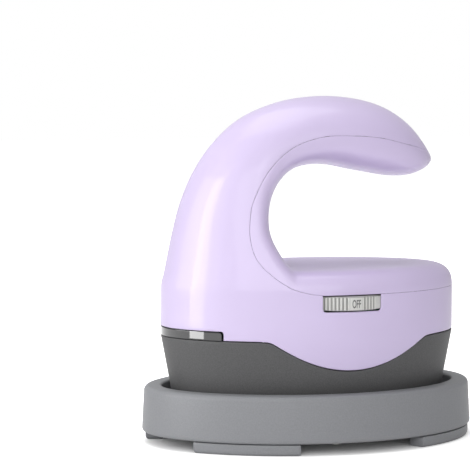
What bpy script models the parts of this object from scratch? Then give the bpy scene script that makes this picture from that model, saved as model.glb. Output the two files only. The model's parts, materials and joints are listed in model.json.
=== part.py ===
import bpy
import bmesh
from math import cos, pi, radians, sin, sqrt
from mathutils import Matrix, Vector

# Mini handheld heat press standing in its safety stand.
# Metres, +Z up. The nose points to -X, the dial faces -Y and the origin is the
# middle of the stand's footprint, on the surface it stands on.

# Clearances and shared sizes
gap = 0.0003                     # between pieces that meet
overrun = 0.004                  # how far a cutter runs past what it cuts
plan_steps = 40
sheet_steps = 28
screw_sides = 10

# Egg-shaped plan outline, as shares of its half width
egg_share = 0.04                 # the nose is this much slimmer than the heel
pinch_share = -0.063             # both ends are this much slimmer than an ellipse

# Plan of the shell, and of the skirt's foot, which is narrower by the tapers
shell_half_length = 0.0570
shell_half_width = 0.0355
skirt_end_taper = 0.0054
skirt_side_taper = 0.0047
skirt_foot_half_length = shell_half_length - skirt_end_taper
skirt_foot_half_width = shell_half_width - skirt_side_taper

# Stand: feet, base plate, floor and rim
foot_height = 0.0040
foot_inset = 0.0015
foot_depth = 0.0060
foot_land = 0.0015
near_foot_angles = ((radians(36), radians(76)), (radians(122), radians(165)))  # the far ones lie opposite
base_recess = 0.0001
base_thickness = 0.0012
stand_end_room = 0.0059          # between the skirt's foot and the rim
stand_side_room = 0.0053
stand_rim_width = 0.0067
stand_half_length = skirt_foot_half_length + stand_end_room + stand_rim_width
stand_half_width = skirt_foot_half_width + stand_side_room + stand_rim_width
stand_wall = 0.0024
stand_side_height = 0.0173
stand_draft = 0.0009             # the wall leans in by this much
stand_shoulder = 0.0032          # rounded outer edge of the rim
stand_lip_round = 0.0010
stand_floor_thickness = 0.0016
stand_boss_radius = 0.0023
stand_boss_height = 0.0035
stand_boss_inset = 0.0096
stand_bottom_z = foot_height + gap
stand_rim_z = stand_bottom_z + stand_side_height
base_bottom_z = stand_bottom_z + base_recess
stand_floor_low_z = base_bottom_z + base_thickness + gap
stand_floor_z = stand_floor_low_z + stand_floor_thickness

# Soleplate on the stand's mat
mat_thickness = 0.0010
mat_end_inset = 0.0073
mat_side_inset = 0.0065
sole_margin = 0.0003             # the skirt's foot stands out this far
sole_rim_height = 0.0026
sole_step_height = 0.0031
sole_edge_round = 0.0006
sole_step_gap = 0.0004
sole_post_inset = 0.0125
sole_post_radius = 0.0025
sole_post_angle = radians(50)
sole_half_length = skirt_foot_half_length - sole_margin
sole_half_width = skirt_foot_half_width - sole_margin
sole_bottom_z = stand_floor_z + mat_thickness + 2 * gap
sole_rim_z = sole_bottom_z + sole_rim_height
sole_top_z = sole_rim_z + sole_step_height

# Skirt with the ledge inside it
skirt_height = 0.0287
skirt_wall = 0.0024
shelf_rise = 0.0138              # from the soleplate to the top of the ledge
shelf_thickness = 0.0022
shelf_depth = 0.0140
skirt_bottom_z = sole_rim_z + gap
skirt_line_z = skirt_bottom_z + skirt_height
shelf_z = sole_top_z + shelf_rise

# Shell, its flat deck and the handle's arch
shell_wall = 0.0024
shell_side_height = 0.0168
deck_roll_height = 0.0085        # rounded edge of the flat deck
deck_roll_width = 0.0105
handle_rise = 0.0720
cover_roll = 0.0080              # rounded edge inside the handle
tuck_x = 0.0235                  # forward of here the arch makes the outer surface
tuck_share = 0.012
seam_z = skirt_line_z + shell_side_height

# Dip of the shell into the skirt, on both flanks
dip_centre_x = 0.0060
dip_half_span = 0.0330
dip_depth = 0.0109
dip_fillet_share = 0.10

# Heating element and what sits on the soleplate
heater_radius = 0.0030
heater_sunk = 0.0005             # its axis lies this far above the soleplate
heater_post_room = 0.0006        # between the element's legs and the plate's posts
heater_heel_inset = 0.0203
heater_nose_inset = 0.0198
heater_pin_radius = 0.0012
heater_pin_length = 0.0060
cutout_size = (0.0150, 0.0060, 0.0030)
cutout_cap_inset = 0.0008
cutout_cap_height = 0.0006
cutout_x = 0.0080
fuse_radius = 0.0015
fuse_length = 0.0100
fuse_wire_radius = 0.00045
fuse_wire_length = 0.0015
fuse_x = -0.0090
sensor_size = (0.0050, 0.0036, 0.0026)
sensor_x = 0.0230
insulation_thickness = 0.0020
insulation_end_inset = 0.0043
insulation_side_inset = 0.0025
shield_thickness = 0.0008
lead_notch_length = 0.0180
lead_notch_side = 0.0020         # room outside the element's legs

# Status window, its light guide and its light board
window_half_angle = radians(45.15)
window_height = 0.0035
window_thickness = 0.0016
guide_thickness = 0.0020
guide_height = 0.0021
guide_reach_share = 0.72
led_board_size = (0.0010, 0.0140, 0.0050)
led_board_inset = 0.0078
led_size = (0.0012, 0.0020)
led_pitch = 0.0045
led_bracket_depth = 0.0030
led_bracket_half_width = 0.0050

# Temperature dial
dial_x = 0.0054
dial_proud = 0.0024              # how far the dial stands out of its slot
dial_radius = 0.0182
dial_height = 0.0052
dial_slot_half_width = 0.0114
dial_slot_shift = 0.0005         # the slot is this much nearer the heel than the dial
dial_slot_round = 0.0012
dial_side_gap = 0.0005
dial_top_gap = 0.0004
dial_rib_depth = 0.0004
dial_rib_count = 72
dial_pad_angle = radians(20)
dial_stops = (0, 35, 70, 105)    # degrees: off and three settings
dial_shaft_radius = 0.0030
dial_bottom_z = seam_z - dial_top_gap - dial_height
dial_slot_z = dial_bottom_z - dial_side_gap
dial_centre_y = dial_radius - shell_half_width - dial_proud

# Control board and what it carries
board_rise = 0.0021              # from the skirt's line to the board
board_thickness = 0.0016
board_end_inset = 0.0150
board_side_inset = 0.0080
board_post_angle = radians(60)
board_post_inset = 0.0040
board_post_radius = 0.0025
switch_size = 0.0130
switch_bush_radius = 0.0042
switch_bush_height = 0.0018
switch_floor = 0.0014
relay_box = (0.0155, 0.0100, 0.0115)
relay_place = (0.0050, 0.0126)
capacitor_radius = 0.0050
capacitor_height = 0.0130
capacitor_nose_inset = 0.0220
capacitor_y = 0.0080
terminal_box = (0.0110, 0.0084, 0.0066)
terminal_heel_inset = 0.0160
terminal_y = 0.0025
board_z = skirt_line_z + board_rise
board_half_length = shell_half_length - board_end_inset
board_half_width = shell_half_width - board_side_inset

# Lugs that screw the shell to the skirt
lug_angle = radians(38)
lug_inset = 0.0074
lug_width = 0.0064
lug_reach = 0.0032
lug_thickness = 0.0024
lug_root = 0.0012
lug_post_radius = 0.0028

# Cord inlet bush and its clamp; the cord itself is not part of the model
inlet_rise = 0.0066
inlet_bore_radius = 0.0031
inlet_neck_radius = 0.0044
inlet_flange_radius = 0.0059
inlet_flange_thickness = 0.0016
inlet_flange_gap = 0.0017
inlet_tail = 0.0024
inlet_recess = 0.0006
inlet_z = skirt_line_z + inlet_rise
clamp_inset = 0.0120
clamp_post_y = 0.0085
clamp_post_radius = 0.0026
clamp_size = (0.0060, 0.0222, 0.0025)

# Screws
screw_shank_radius = 0.0010
screw_head_radius = 0.0021
screw_crown_radius = 0.0015
screw_head_height = 0.0015
screw_edge_height = 0.0009
screw_hole_radius = 0.0014
screw_depth = 0.0050
screw_tip = 0.0006

# Heater leads
lead_radius = 0.0009
lead_rise_y = 0.0045
lead_turn_height = 0.0083        # their bend, above the soleplate

# The handle's sections, nose root to free tip. Each row holds the outer point,
# the inner point, the half width and the depth of the rounded back. Lengths along
# X and section depths are shares of the shell's half length, heights above the
# seam are shares of the handle's rise, and half widths are shares of the shell's.
handle_section_shares = (
    (-0.949, -0.450, -0.250, -0.450, 0.924, 0.949),
    (-1.000, -0.233, -0.250, -0.233, 1.000, 1.000),
    (-1.000, -0.089, -0.250, -0.089, 1.000, 1.000),
    (-0.991, 0.029, -0.149, 0.057, 0.986, 0.982),
    (-0.954, 0.182, -0.240, 0.161, 0.907, 0.860),
    (-0.914, 0.328, -0.316, 0.279, 0.803, 0.702),
    (-0.866, 0.460, -0.326, 0.383, 0.713, 0.561),
    (-0.784, 0.606, -0.295, 0.485, 0.645, 0.439),
    (-0.655, 0.753, -0.226, 0.569, 0.597, 0.360),
    (-0.461, 0.886, -0.130, 0.622, 0.569, 0.298),
    (-0.200, 0.970, 0.000, 0.642, 0.558, 0.272),
    (0.070, 0.999, 0.123, 0.638, 0.552, 0.263),
    (0.316, 0.985, 0.254, 0.617, 0.544, 0.254),
    (0.509, 0.941, 0.395, 0.596, 0.518, 0.237),
    (0.665, 0.864, 0.540, 0.577, 0.465, 0.202),
    (0.770, 0.775, 0.675, 0.578, 0.366, 0.140),
    (0.833, 0.705, 0.777, 0.606, 0.225, 0.070),
    (0.865, 0.672, 0.853, 0.644, 0.070, 0.021),
)
handle_roll_share = 0.33         # the inner edge's roll takes at most this much
# Line in side view where the cover meets the shell, tip to deck
seam_shares = (
    (0.872, 0.660), (0.781, 0.706), (0.684, 0.732), (0.565, 0.754),
    (0.389, 0.785), (0.193, 0.797), (-0.012, 0.792), (-0.215, 0.738),
    (-0.380, 0.625), (-0.489, 0.479), (-0.518, 0.389), (-0.528, 0.289),
    (-0.500, 0.188), (-0.418, 0.107), (-0.300, 0.040), (-0.181, 0.010),
    (-0.088, 0.000),
)


def clear_scene():
    for thing in list(bpy.data.objects):
        bpy.data.objects.remove(thing, do_unlink=True)


def finish(name, color, roughness, metallic=0.0):
    material = bpy.data.materials.new(name)
    material.use_nodes = True
    shader = material.node_tree.nodes["Principled BSDF"]
    shader.inputs["Base Color"].default_value = (*color, 1.0)
    shader.inputs["Roughness"].default_value = roughness
    shader.inputs["Metallic"].default_value = metallic
    return material


# Mesh helpers

def egg_point(half_length, half_width, angle, z):
    """A point of the plan outline; angle 0 is the nose and 90 degrees faces -Y."""
    along = cos(angle)
    fullness = 1 - egg_share * along + pinch_share * along * along
    return Vector((-half_length * along, -half_width * sin(angle) * fullness, z))


def egg_ring(half_length, half_width, z, steps=plan_steps):
    return [egg_point(half_length, half_width, 2 * pi * i / steps, z) for i in range(steps)]


def flare(z):
    """Half length and half width of the skirt's outside at a height."""
    share = min(1.0, (z - skirt_bottom_z) / (skirt_line_z - skirt_bottom_z))
    return (skirt_foot_half_length + share * (shell_half_length - skirt_foot_half_length),
            skirt_foot_half_width + share * (shell_half_width - skirt_foot_half_width))


def add_rings(bm, rings, looped=False):
    """Skins a row of rings, and caps its ends unless the row closes on itself."""
    loops = [[bm.verts.new(point) for point in ring] for ring in rings]
    pairs = list(zip(loops, loops[1:]))
    if looped:
        pairs.append((loops[-1], loops[0]))
    else:
        bm.faces.new(loops[0])
        bm.faces.new(loops[-1])
    for lower, upper in pairs:
        for i in range(len(lower)):
            j = (i + 1) % len(lower)
            bm.faces.new((lower[i], lower[j], upper[j], upper[i]))


def add_turned(bm, centre, profile, axis="Z", sides=screw_sides, looped=False):
    """A turned piece: the profile holds radius and distance along the axis."""
    turn = {"Z": Matrix.Identity(3), "X": Matrix.Rotation(pi / 2, 3, "Y")}[axis]
    rings = []
    for radius, along in profile:
        points = [Vector((radius * cos(2 * pi * i / sides), radius * sin(2 * pi * i / sides), along))
                  for i in range(sides)]
        rings.append([Vector(centre) + turn @ point for point in points])
    add_rings(bm, rings, looped)


def add_post(bm, x, y, radius, bottom, top, sides=screw_sides):
    add_turned(bm, (x, y, 0), ((radius, bottom), (radius, top)), sides=sides)


def add_box(bm, low, high):
    size = Vector(high) - Vector(low)
    middle = (Vector(high) + Vector(low)) / 2
    bmesh.ops.create_cube(bm, size=1, matrix=Matrix.Translation(middle) @ Matrix.Diagonal((*size, 1)))


def add_prism(bm, outline, low, high, axis="Y"):
    """Extrudes a closed outline; axis Y takes (x, z) points and axis Z takes (x, y)."""
    place = {"Y": lambda u, v, w: (u, w, v), "Z": lambda u, v, w: (u, v, w)}[axis]
    add_rings(bm, [[place(u, v, w) for u, v in outline] for w in (low, high)])


def add_bar(bm, section, angles, steps):
    """Sweeps a section of (half length, half width, z) corners along the plan outline."""
    start, end = angles
    rings = []
    for i in range(steps + 1):
        angle = start + (end - start) * i / steps
        rings.append([egg_point(*corner[:2], angle, corner[2]) for corner in section])
    add_rings(bm, rings)


def inset_corner(half_length, half_width, inset, z):
    return (half_length - inset, half_width - inset, z)


def place_mesh(name, bm, material=None):
    bmesh.ops.recalc_face_normals(bm, faces=bm.faces)
    mesh = bpy.data.meshes.new(name)
    bm.to_mesh(mesh)
    bm.free()
    mesh.shade_smooth()
    mesh.set_sharp_from_angle(angle=radians(35))
    thing = bpy.data.objects.new(name, mesh)
    bpy.context.collection.objects.link(thing)
    if material is None:
        thing.hide_render = True
        thing.display_type = "WIRE"
    else:
        mesh.materials.append(material)
    return thing


def combine(thing, other, operation="DIFFERENCE"):
    change = thing.modifiers.new(other.name, "BOOLEAN")
    change.operation = operation
    change.object = other


def mirrored(places):
    """Every place in all four quarters of the plan."""
    return [(sx * x, sy * y) for x, y in places for sx in (1, -1) for sy in (1, -1)]


# Curves that several pieces share

def smooth_through(points, steps):
    """Points along a smooth curve through the given ones."""
    points = [Vector(point) for point in points]
    rows = [points[0] * 2 - points[1], *points, points[-1] * 2 - points[-2]]
    curve = []
    for a, b, c, d in zip(rows, rows[1:], rows[2:], rows[3:]):
        for i in range(steps):
            t = i / steps
            curve.append(0.5 * ((2 * b) + (c - a) * t + (2 * a - 5 * b + 4 * c - d) * t ** 2
                                + (3 * b - a - 3 * c + d) * t ** 3))
    return curve + [points[-1]]


def dip_height(x, shift):
    """Height of the line between shell and skirt, moved up or down by shift."""
    reach = (x - dip_centre_x) / dip_half_span
    bowl = 1 - reach * reach
    bowl = (bowl + sqrt(bowl * bowl + dip_fillet_share ** 2)) / 2
    far = 1 - (shell_half_length / dip_half_span) ** 2
    rest = (far + sqrt(far * far + dip_fillet_share ** 2)) / 2
    return skirt_line_z - dip_depth * max(0.0, bowl - rest) + shift


def dip_outline(shift, side):
    """Side-view region above (side 1) or below (side -1) the dip line."""
    steps = 44
    end = stand_half_length
    xs = [-end + 2 * end * i / steps for i in range(steps + 1)]
    line = [(x, dip_height(x, shift)) for x in xs]
    far = seam_z + side * (seam_z + handle_rise)
    return line + [(end, far), (-end, far)]


def seam_outline(shift):
    """Side-view region of the cover, grown outward by shift."""
    knots = [(x * shell_half_length, seam_z + z * handle_rise) for x, z in seam_shares]
    curve = smooth_through(knots, 2)
    curve.append(Vector((stand_half_length, seam_z)))
    curve.insert(0, Vector((stand_half_length, curve[0].y)))
    moved = []
    for i, point in enumerate(curve):
        before = curve[max(0, i - 1)]
        after = curve[min(len(curve) - 1, i + 1)]
        heading = (after - before).normalized()
        moved.append(point + Vector((heading.y, -heading.x)) * shift)
    return [tuple(point) for point in moved]


# Press shell

def handle_ring(row, wall, half_steps):
    """One closed section of the handle, thinner by a wall."""
    outer_x, outer_z, inner_x, inner_z, width, back = row
    outer = Vector((outer_x * shell_half_length, 0, seam_z + outer_z * handle_rise))
    inner = Vector((inner_x * shell_half_length, 0, seam_z + inner_z * handle_rise))
    across = (inner - outer).normalized()
    depth = (inner - outer).length - 2 * wall
    half = width * shell_half_width - wall
    back = back * shell_half_length - wall
    roll = min(cover_roll - wall, handle_roll_share * depth)
    near, far = [], []
    for i in range(half_steps + 1):
        along = depth * (1 - cos(pi * i / half_steps)) / 2
        c = max(0.0, 1 - along / back)
        y = half * sqrt(1 - c * c) * (1 - egg_share * c + pinch_share * c * c)
        if along > depth - roll:
            y *= sqrt(max(0.0, 1 - ((along - depth + roll) / roll) ** 2))
        point = outer + across * (wall + along)
        near.append(point - Vector((0, y, 0)))
        far.append(point + Vector((0, y, 0)))
    return near + far[-2:0:-1]


def handle_rings(wall, half_steps, span_steps, rows):
    curves = []
    for column in range(6):
        knots = [(i * shell_half_length, row[column], 0) for i, row in enumerate(rows)]
        curves.append([point.y for point in smooth_through(knots, span_steps)])
    return [handle_ring(row, wall, half_steps) for row in zip(*curves)]


def body_rings(wall, bottom_z, roll_steps, steps):
    """The lower body up to the rounded edge of its flat deck."""
    levels = [(bottom_z, 0.0), (skirt_line_z, 0.0)]
    top = deck_roll_height - wall
    side = deck_roll_width - wall
    for i in range(roll_steps + 1):
        angle = pi / 2 * i / roll_steps
        levels.append((seam_z + top * sin(angle), side * (1 - cos(angle))))
    rings = []
    for z, inset in levels:
        half_length, half_width = flare(z)
        ring = egg_ring(half_length - wall - inset, half_width - wall - inset, z, steps)
        for point in ring:
            if point.x < -tuck_x:
                point.x *= 1 - tuck_share
                point.y *= 1 - tuck_share
        rings.append(ring)
    return rings


def shell_form(name, material=None):
    """Solid outer form of the press above its skirt, then hollowed to a wall."""
    bm = bmesh.new()
    add_rings(bm, body_rings(0, sole_rim_z, 5, plan_steps))
    thing = place_mesh(name, bm, material)
    bm = bmesh.new()
    add_rings(bm, handle_rings(0, 12, 2, handle_section_shares))
    combine(thing, place_mesh(name + "_handle", bm), "UNION")
    bm = bmesh.new()
    add_rings(bm, body_rings(shell_wall, -overrun, 3, sheet_steps))
    combine(thing, place_mesh(name + "_body_void", bm))
    bm = bmesh.new()
    lowered = ((*handle_section_shares[0][:1], -1, handle_section_shares[0][2], -1,
                *handle_section_shares[0][4:]), *handle_section_shares[1:])
    add_rings(bm, handle_rings(shell_wall, 8, 1, lowered[:-1]))
    combine(thing, place_mesh(name + "_handle_void", bm))
    return thing


def outer_shell(material):
    shell = shell_form("outer_shell", material)
    bm = bmesh.new()
    add_prism(bm, dip_outline(gap / 2, -1), -stand_half_width, stand_half_width)
    combine(shell, place_mesh("shell_below_dip", bm))
    bm = bmesh.new()
    add_prism(bm, seam_outline(gap / 2), -stand_half_width, stand_half_width)
    combine(shell, place_mesh("shell_cover_region", bm))
    combine(shell, shell_lugs(), "UNION")
    combine(shell, dial_slot())
    combine(shell, dial_relief())
    combine(shell, shell_openings())
    return shell


def inner_cover(material):
    cover = shell_form("inner_cover", material)
    bm = bmesh.new()
    add_prism(bm, seam_outline(-gap / 2), -stand_half_width, stand_half_width)
    combine(cover, place_mesh("cover_region", bm), "INTERSECT")
    return cover


def lug_angles():
    return (lug_angle, -lug_angle, pi - lug_angle, pi + lug_angle)


def lug_places():
    length = shell_half_length - lug_inset
    width = shell_half_width - lug_inset
    return [tuple(egg_point(length, width, angle, 0).xy) for angle in lug_angles()]


def lug_bottom_z():
    """The lugs lie just above the window's notch and the control board."""
    return skirt_line_z + window_height + gap


def shell_lugs():
    """Four flat lugs inside the shell, each rooted in its wall."""
    bm = bmesh.new()
    outer = (shell_half_length, shell_half_width)
    low = lug_bottom_z()
    high = low + lug_thickness
    deep = lug_inset + lug_reach
    section = [inset_corner(*outer, inset, z) for inset, z in
               ((lug_root, low), (deep, low), (deep, high), (lug_root, high))]
    half_turn = lug_width / 2 / shell_half_length
    for angle in lug_angles():
        add_bar(bm, section, (angle - half_turn, angle + half_turn), 3)
    return place_mesh("shell_lug_blocks", bm)


def dial_slot():
    bm = bmesh.new()
    low = dial_slot_z
    left = dial_x + dial_slot_shift - dial_slot_half_width
    right = dial_x + dial_slot_shift + dial_slot_half_width
    outline = [(right, seam_z + gap), (left, seam_z + gap)]
    for centre_x, start in ((left + dial_slot_round, pi), (right - dial_slot_round, 1.5 * pi)):
        for i in range(4):
            angle = start + pi / 6 * i
            outline.append((centre_x + dial_slot_round * cos(angle),
                            low + dial_slot_round + dial_slot_round * sin(angle)))
    add_prism(bm, outline, -stand_half_width, -shell_half_width / 2)
    return place_mesh("dial_slot", bm)


def dial_relief():
    """Room behind the slot's ends for the rim of the dial."""
    bm = bmesh.new()
    add_post(bm, dial_x, dial_centre_y, dial_radius + dial_side_gap, dial_slot_z, seam_z, 64)
    return place_mesh("dial_relief", bm)


def shell_openings():
    """The window's notch, the cord inlet's hole and the lugs' screw holes."""
    bm = bmesh.new()
    outer = (shell_half_length, shell_half_width)
    behind = window_thickness + guide_thickness + 2 * gap
    low = skirt_line_z - overrun
    high = skirt_line_z + window_height
    section = [inset_corner(*outer, -overrun, low), inset_corner(*outer, behind, low),
               inset_corner(*outer, behind, high), inset_corner(*outer, -overrun, high)]
    reach = window_half_angle + gap / shell_half_width
    add_bar(bm, section, (-reach, reach), 16)
    hole = inlet_neck_radius + gap
    add_turned(bm, (0, 0, inlet_z), ((hole, shell_half_length - deck_roll_width),
                                     (hole, shell_half_length + overrun)), "X", 20)
    for x, y in lug_places():
        low = lug_bottom_z()
        add_post(bm, x, y, screw_hole_radius, low - gap, low + lug_thickness + overrun)
    return place_mesh("shell_openings", bm)


# Skirt with its ledge and posts

def skirt(material):
    bm = bmesh.new()
    low = shelf_z - shelf_thickness
    top = skirt_line_z + skirt_wall
    deep = skirt_wall + shelf_depth
    section = ((0, skirt_bottom_z), (0, skirt_line_z), (0, top), (skirt_wall, top),
               (skirt_wall, skirt_line_z), (skirt_wall, shelf_z), (deep, shelf_z), (deep, low),
               (skirt_wall, low), (skirt_wall, skirt_bottom_z))
    rings = []
    for inset, z in section:
        half_length, half_width = flare(z)
        rings.append(egg_ring(half_length - inset, half_width - inset, z))
    add_rings(bm, rings, looped=True)
    piece = place_mesh("skirt", bm, material)
    bm = bmesh.new()
    add_prism(bm, dip_outline(-gap / 2, 1), -stand_half_width, stand_half_width)
    combine(piece, place_mesh("skirt_above_dip", bm))
    combine(piece, skirt_posts(), "UNION")
    combine(piece, skirt_bores())
    return piece


def board_posts():
    length = board_half_length - board_post_inset
    width = board_half_width - board_post_inset
    return [(length * cos(board_post_angle), width * sin(board_post_angle))]


def sole_posts():
    length = shell_half_length - sole_post_inset
    width = shell_half_width - sole_post_inset
    return [(length * cos(sole_post_angle), width * sin(sole_post_angle))]


def clamp_posts():
    x = shell_half_length - clamp_inset
    return [(x, clamp_post_y), (x, -clamp_post_y)]


def clamp_z():
    return inlet_z + inlet_bore_radius


def skirt_posts():
    bm = bmesh.new()
    root = shelf_z - shelf_thickness / 2
    for x, y in mirrored(board_posts()):
        add_post(bm, x, y, board_post_radius, root, board_z - gap)
    for x, y in lug_places():
        add_post(bm, x, y, lug_post_radius, root, lug_bottom_z() - gap)
    for x, y in clamp_posts():
        add_post(bm, x, y, clamp_post_radius, root, clamp_z())
    bracket_x = led_board_inset - shell_half_length - led_board_size[0] - gap
    add_box(bm, (bracket_x, -led_bracket_half_width, root),
            (bracket_x + led_bracket_depth, led_bracket_half_width, led_board_bottom() - gap))
    return place_mesh("skirt_post_blocks", bm)


def skirt_bores():
    """Blind bores in the posts and through holes in the ledge."""
    bm = bmesh.new()
    bore = screw_shank_radius + gap / 2
    depth = screw_depth + screw_tip
    for x, y in mirrored(board_posts()):
        add_post(bm, x, y, bore, board_z - depth, board_z + overrun)
    for x, y in lug_places():
        add_post(bm, x, y, bore, lug_bottom_z() - depth, lug_bottom_z() + overrun)
    for x, y in clamp_posts():
        add_post(bm, x, y, bore, clamp_z() - depth, clamp_z() + overrun)
    for x, y in mirrored(sole_posts()):
        add_post(bm, x, y, screw_hole_radius, shelf_z - overrun, shelf_z + overrun)
    return place_mesh("skirt_bores", bm)


# Soleplate and heater

def heater_axis_z():
    return sole_top_z + heater_sunk


def heater_top_z():
    return heater_axis_z() + heater_radius


def heater_end_x():
    return sole_half_length - heater_heel_inset


def heater_leg_y():
    """The legs run just inside the plate's posts."""
    return sole_posts()[0][1] - sole_post_radius - heater_post_room - heater_radius


def heater_route(end_x, steps=10):
    """The element's centre line: two straight legs and a half turn at the nose."""
    y, z = heater_leg_y(), heater_axis_z()
    bend_x = heater_nose_inset + y - sole_half_length
    angles = [pi * i / steps for i in range(steps + 1)]
    turn = [Vector((bend_x - y * sin(angle), -y * cos(angle), z)) for angle in angles]
    return [Vector((end_x, -y, z)), *turn, Vector((end_x, y, z))]


def add_tube(bm, route, radii, sides):
    """A tube of round sections, each square to the route's local direction."""
    rings = []
    side = Vector((0, 0, 1))
    for i, point in enumerate(route):
        heading = route[min(len(route) - 1, i + 1)] - route[max(0, i - 1)]
        heading.normalize()
        side = (side - heading * side.dot(heading)).normalized()
        other = heading.cross(side)
        rings.append([point + radii[i] * (side * cos(2 * pi * k / sides) + other * sin(2 * pi * k / sides))
                      for k in range(sides)])
    add_rings(bm, rings)


def heater_element(material):
    route = heater_route(heater_end_x())
    radii = [heater_radius] * len(route)
    for end, where in ((0, 0), (-1, len(route))):
        shoulder = route[end].copy()
        tip = shoulder + Vector((heater_pin_length, 0, 0))
        neck = shoulder + Vector((gap, 0, 0))
        extra = [tip, neck] if end == 0 else [neck, tip]
        slot = where if end == 0 else len(route)
        route[slot:slot] = extra
        radii[slot:slot] = [heater_pin_radius] * 2
    bm = bmesh.new()
    add_tube(bm, route, radii, 12)
    return place_mesh("heater_element", bm, material)


def soleplate(material):
    bm = bmesh.new()
    outer = (sole_half_length, sole_half_width)
    step = sole_half_length - (skirt_foot_half_length - skirt_wall - sole_step_gap)
    section = ((sole_edge_round, sole_bottom_z), (0, sole_bottom_z + sole_edge_round), (0, sole_rim_z),
               (step, sole_rim_z), (step, sole_top_z))
    add_rings(bm, [egg_ring(outer[0] - inset, outer[1] - inset, z) for inset, z in section])
    plate = place_mesh("soleplate", bm, material)
    bm = bmesh.new()
    top = shelf_z - shelf_thickness - gap
    for x, y in mirrored(sole_posts()):
        add_post(bm, x, y, sole_post_radius, sole_rim_z + gap, top)
    combine(plate, place_mesh("soleplate_posts", bm), "UNION")
    bm = bmesh.new()
    route = heater_route(sole_half_length)
    add_tube(bm, route, [heater_radius + gap] * len(route), 12)
    combine(plate, place_mesh("heater_groove", bm))
    bm = bmesh.new()
    for x, y in mirrored(sole_posts()):
        add_post(bm, x, y, screw_shank_radius + gap / 2, shelf_z - screw_depth - screw_tip, top + overrun)
    combine(plate, place_mesh("soleplate_bores", bm))
    return plate


def thermal_cutout(material):
    """A flat cutout with a raised cap, lying between the element's legs."""
    bm = bmesh.new()
    low = sole_top_z + gap
    length, width, height = cutout_size
    step = height - cutout_cap_height
    corners = ((1, 1), (-1, 1), (-1, -1), (1, -1))
    rings = []
    for inset, z in ((0, 0), (0, step), (cutout_cap_inset, step), (cutout_cap_inset, height)):
        x = length / 2 - inset
        y = width / 2 - inset
        rings.append([Vector((cutout_x + sx * x, sy * y, low + z)) for sx, sy in corners])
    add_rings(bm, rings)
    return place_mesh("thermal_cutout", bm, material)


def thermal_fuse(material):
    bm = bmesh.new()
    half = fuse_length / 2
    end = half + fuse_wire_length
    profile = ((fuse_wire_radius, -end), (fuse_wire_radius, -half), (fuse_radius, -half),
               (fuse_radius, half), (fuse_wire_radius, half), (fuse_wire_radius, end))
    add_turned(bm, (fuse_x, 0, sole_top_z + gap + fuse_radius), profile, "X")
    return place_mesh("thermal_fuse", bm, material)


def temperature_sensor(material):
    bm = bmesh.new()
    length, width, height = sensor_size
    low = sole_top_z + gap
    add_box(bm, (sensor_x - length / 2, -width / 2, low), (sensor_x + length / 2, width / 2, low + height))
    return place_mesh("temperature_sensor", bm, material)


def sheet_over_heater(name, low, thickness, material):
    """A flat sheet with holes for the soleplate's posts and a notch for the leads."""
    bm = bmesh.new()
    half_length = sole_half_length - insulation_end_inset
    half_width = sole_half_width - insulation_side_inset
    add_rings(bm, [egg_ring(half_length, half_width, z, sheet_steps) for z in (low, low + thickness)])
    sheet = place_mesh(name, bm, material)
    bm = bmesh.new()
    for x, y in mirrored(sole_posts()):
        add_post(bm, x, y, sole_post_radius + gap, low - overrun, low + thickness + overrun)
    combine(sheet, place_mesh(name + "_holes", bm))
    bm = bmesh.new()
    notch = heater_leg_y() + lead_notch_side
    add_box(bm, (half_length - lead_notch_length, -notch, low - overrun),
            (half_length + overrun, notch, low + thickness + overrun))
    combine(sheet, place_mesh(name + "_notch", bm))
    return sheet


def heater_leads(material):
    """Two insulated wires from the element's pins up to the control board."""
    bottom = heater_axis_z() + heater_pin_radius + gap
    pin_x = heater_end_x() + heater_pin_length / 2
    turn_z = sole_top_z + lead_turn_height
    leg_y = heater_leg_y()
    for name, side in (("heater_lead_far", 1), ("heater_lead_near", -1)):
        knots = [(pin_x, side * leg_y, bottom),
                 (pin_x, side * leg_y, bottom + 2 * lead_radius),
                 (pin_x, side * (leg_y + lead_rise_y) / 2, turn_z - 2 * lead_radius),
                 (heater_end_x(), side * lead_rise_y, turn_z + 2 * lead_radius),
                 (heater_end_x(), side * lead_rise_y, shelf_z),
                 (heater_end_x(), side * lead_rise_y, board_z - gap)]
        route = smooth_through(knots, 3)
        bm = bmesh.new()
        add_tube(bm, route, [lead_radius] * len(route), 8)
        place_mesh(name, bm, material)


# Stand

def stand_tub(material):
    rim_x = stand_half_length - stand_draft
    rim_y = stand_half_width - stand_draft
    top = stand_rim_z
    inner = stand_rim_width
    hollow_top = top - stand_wall
    section = [(stand_wall, stand_bottom_z, 0), (0, stand_bottom_z, 0)]
    for i in range(5):
        angle = pi / 2 * i / 4
        section.append((stand_shoulder * (1 - cos(angle)), top - stand_shoulder * (1 - sin(angle)), 1))
    for i in range(3):
        angle = pi / 2 * i / 2
        section.append((inner - stand_lip_round * (1 - sin(angle)),
                        top - stand_lip_round * (1 - cos(angle)), 1))
    section.append((inner + stand_draft, stand_floor_z, 1))
    under = [(stand_wall, hollow_top, 1), (inner - stand_wall, hollow_top, 1),
             (inner - stand_wall, stand_floor_low_z, 1)]
    rings = [sized_ring(rim_x, rim_y, *row) for row in under[::-1]]
    rings += [sized_ring(rim_x, rim_y, *row) for row in section]
    bm = bmesh.new()
    add_rings(bm, rings)
    tub = place_mesh("stand_tub", bm, material)
    bm = bmesh.new()
    boss_top = stand_floor_z + stand_boss_height
    for x, y in stand_bosses():
        add_post(bm, x, y, stand_boss_radius, stand_floor_low_z + gap, boss_top)
    combine(tub, place_mesh("stand_boss_blocks", bm), "UNION")
    bm = bmesh.new()
    for x, y in stand_bosses():
        add_post(bm, x, y, screw_shank_radius + gap / 2, stand_floor_low_z - overrun, boss_top - screw_tip)
    combine(tub, place_mesh("stand_boss_bores", bm))
    return tub


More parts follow.
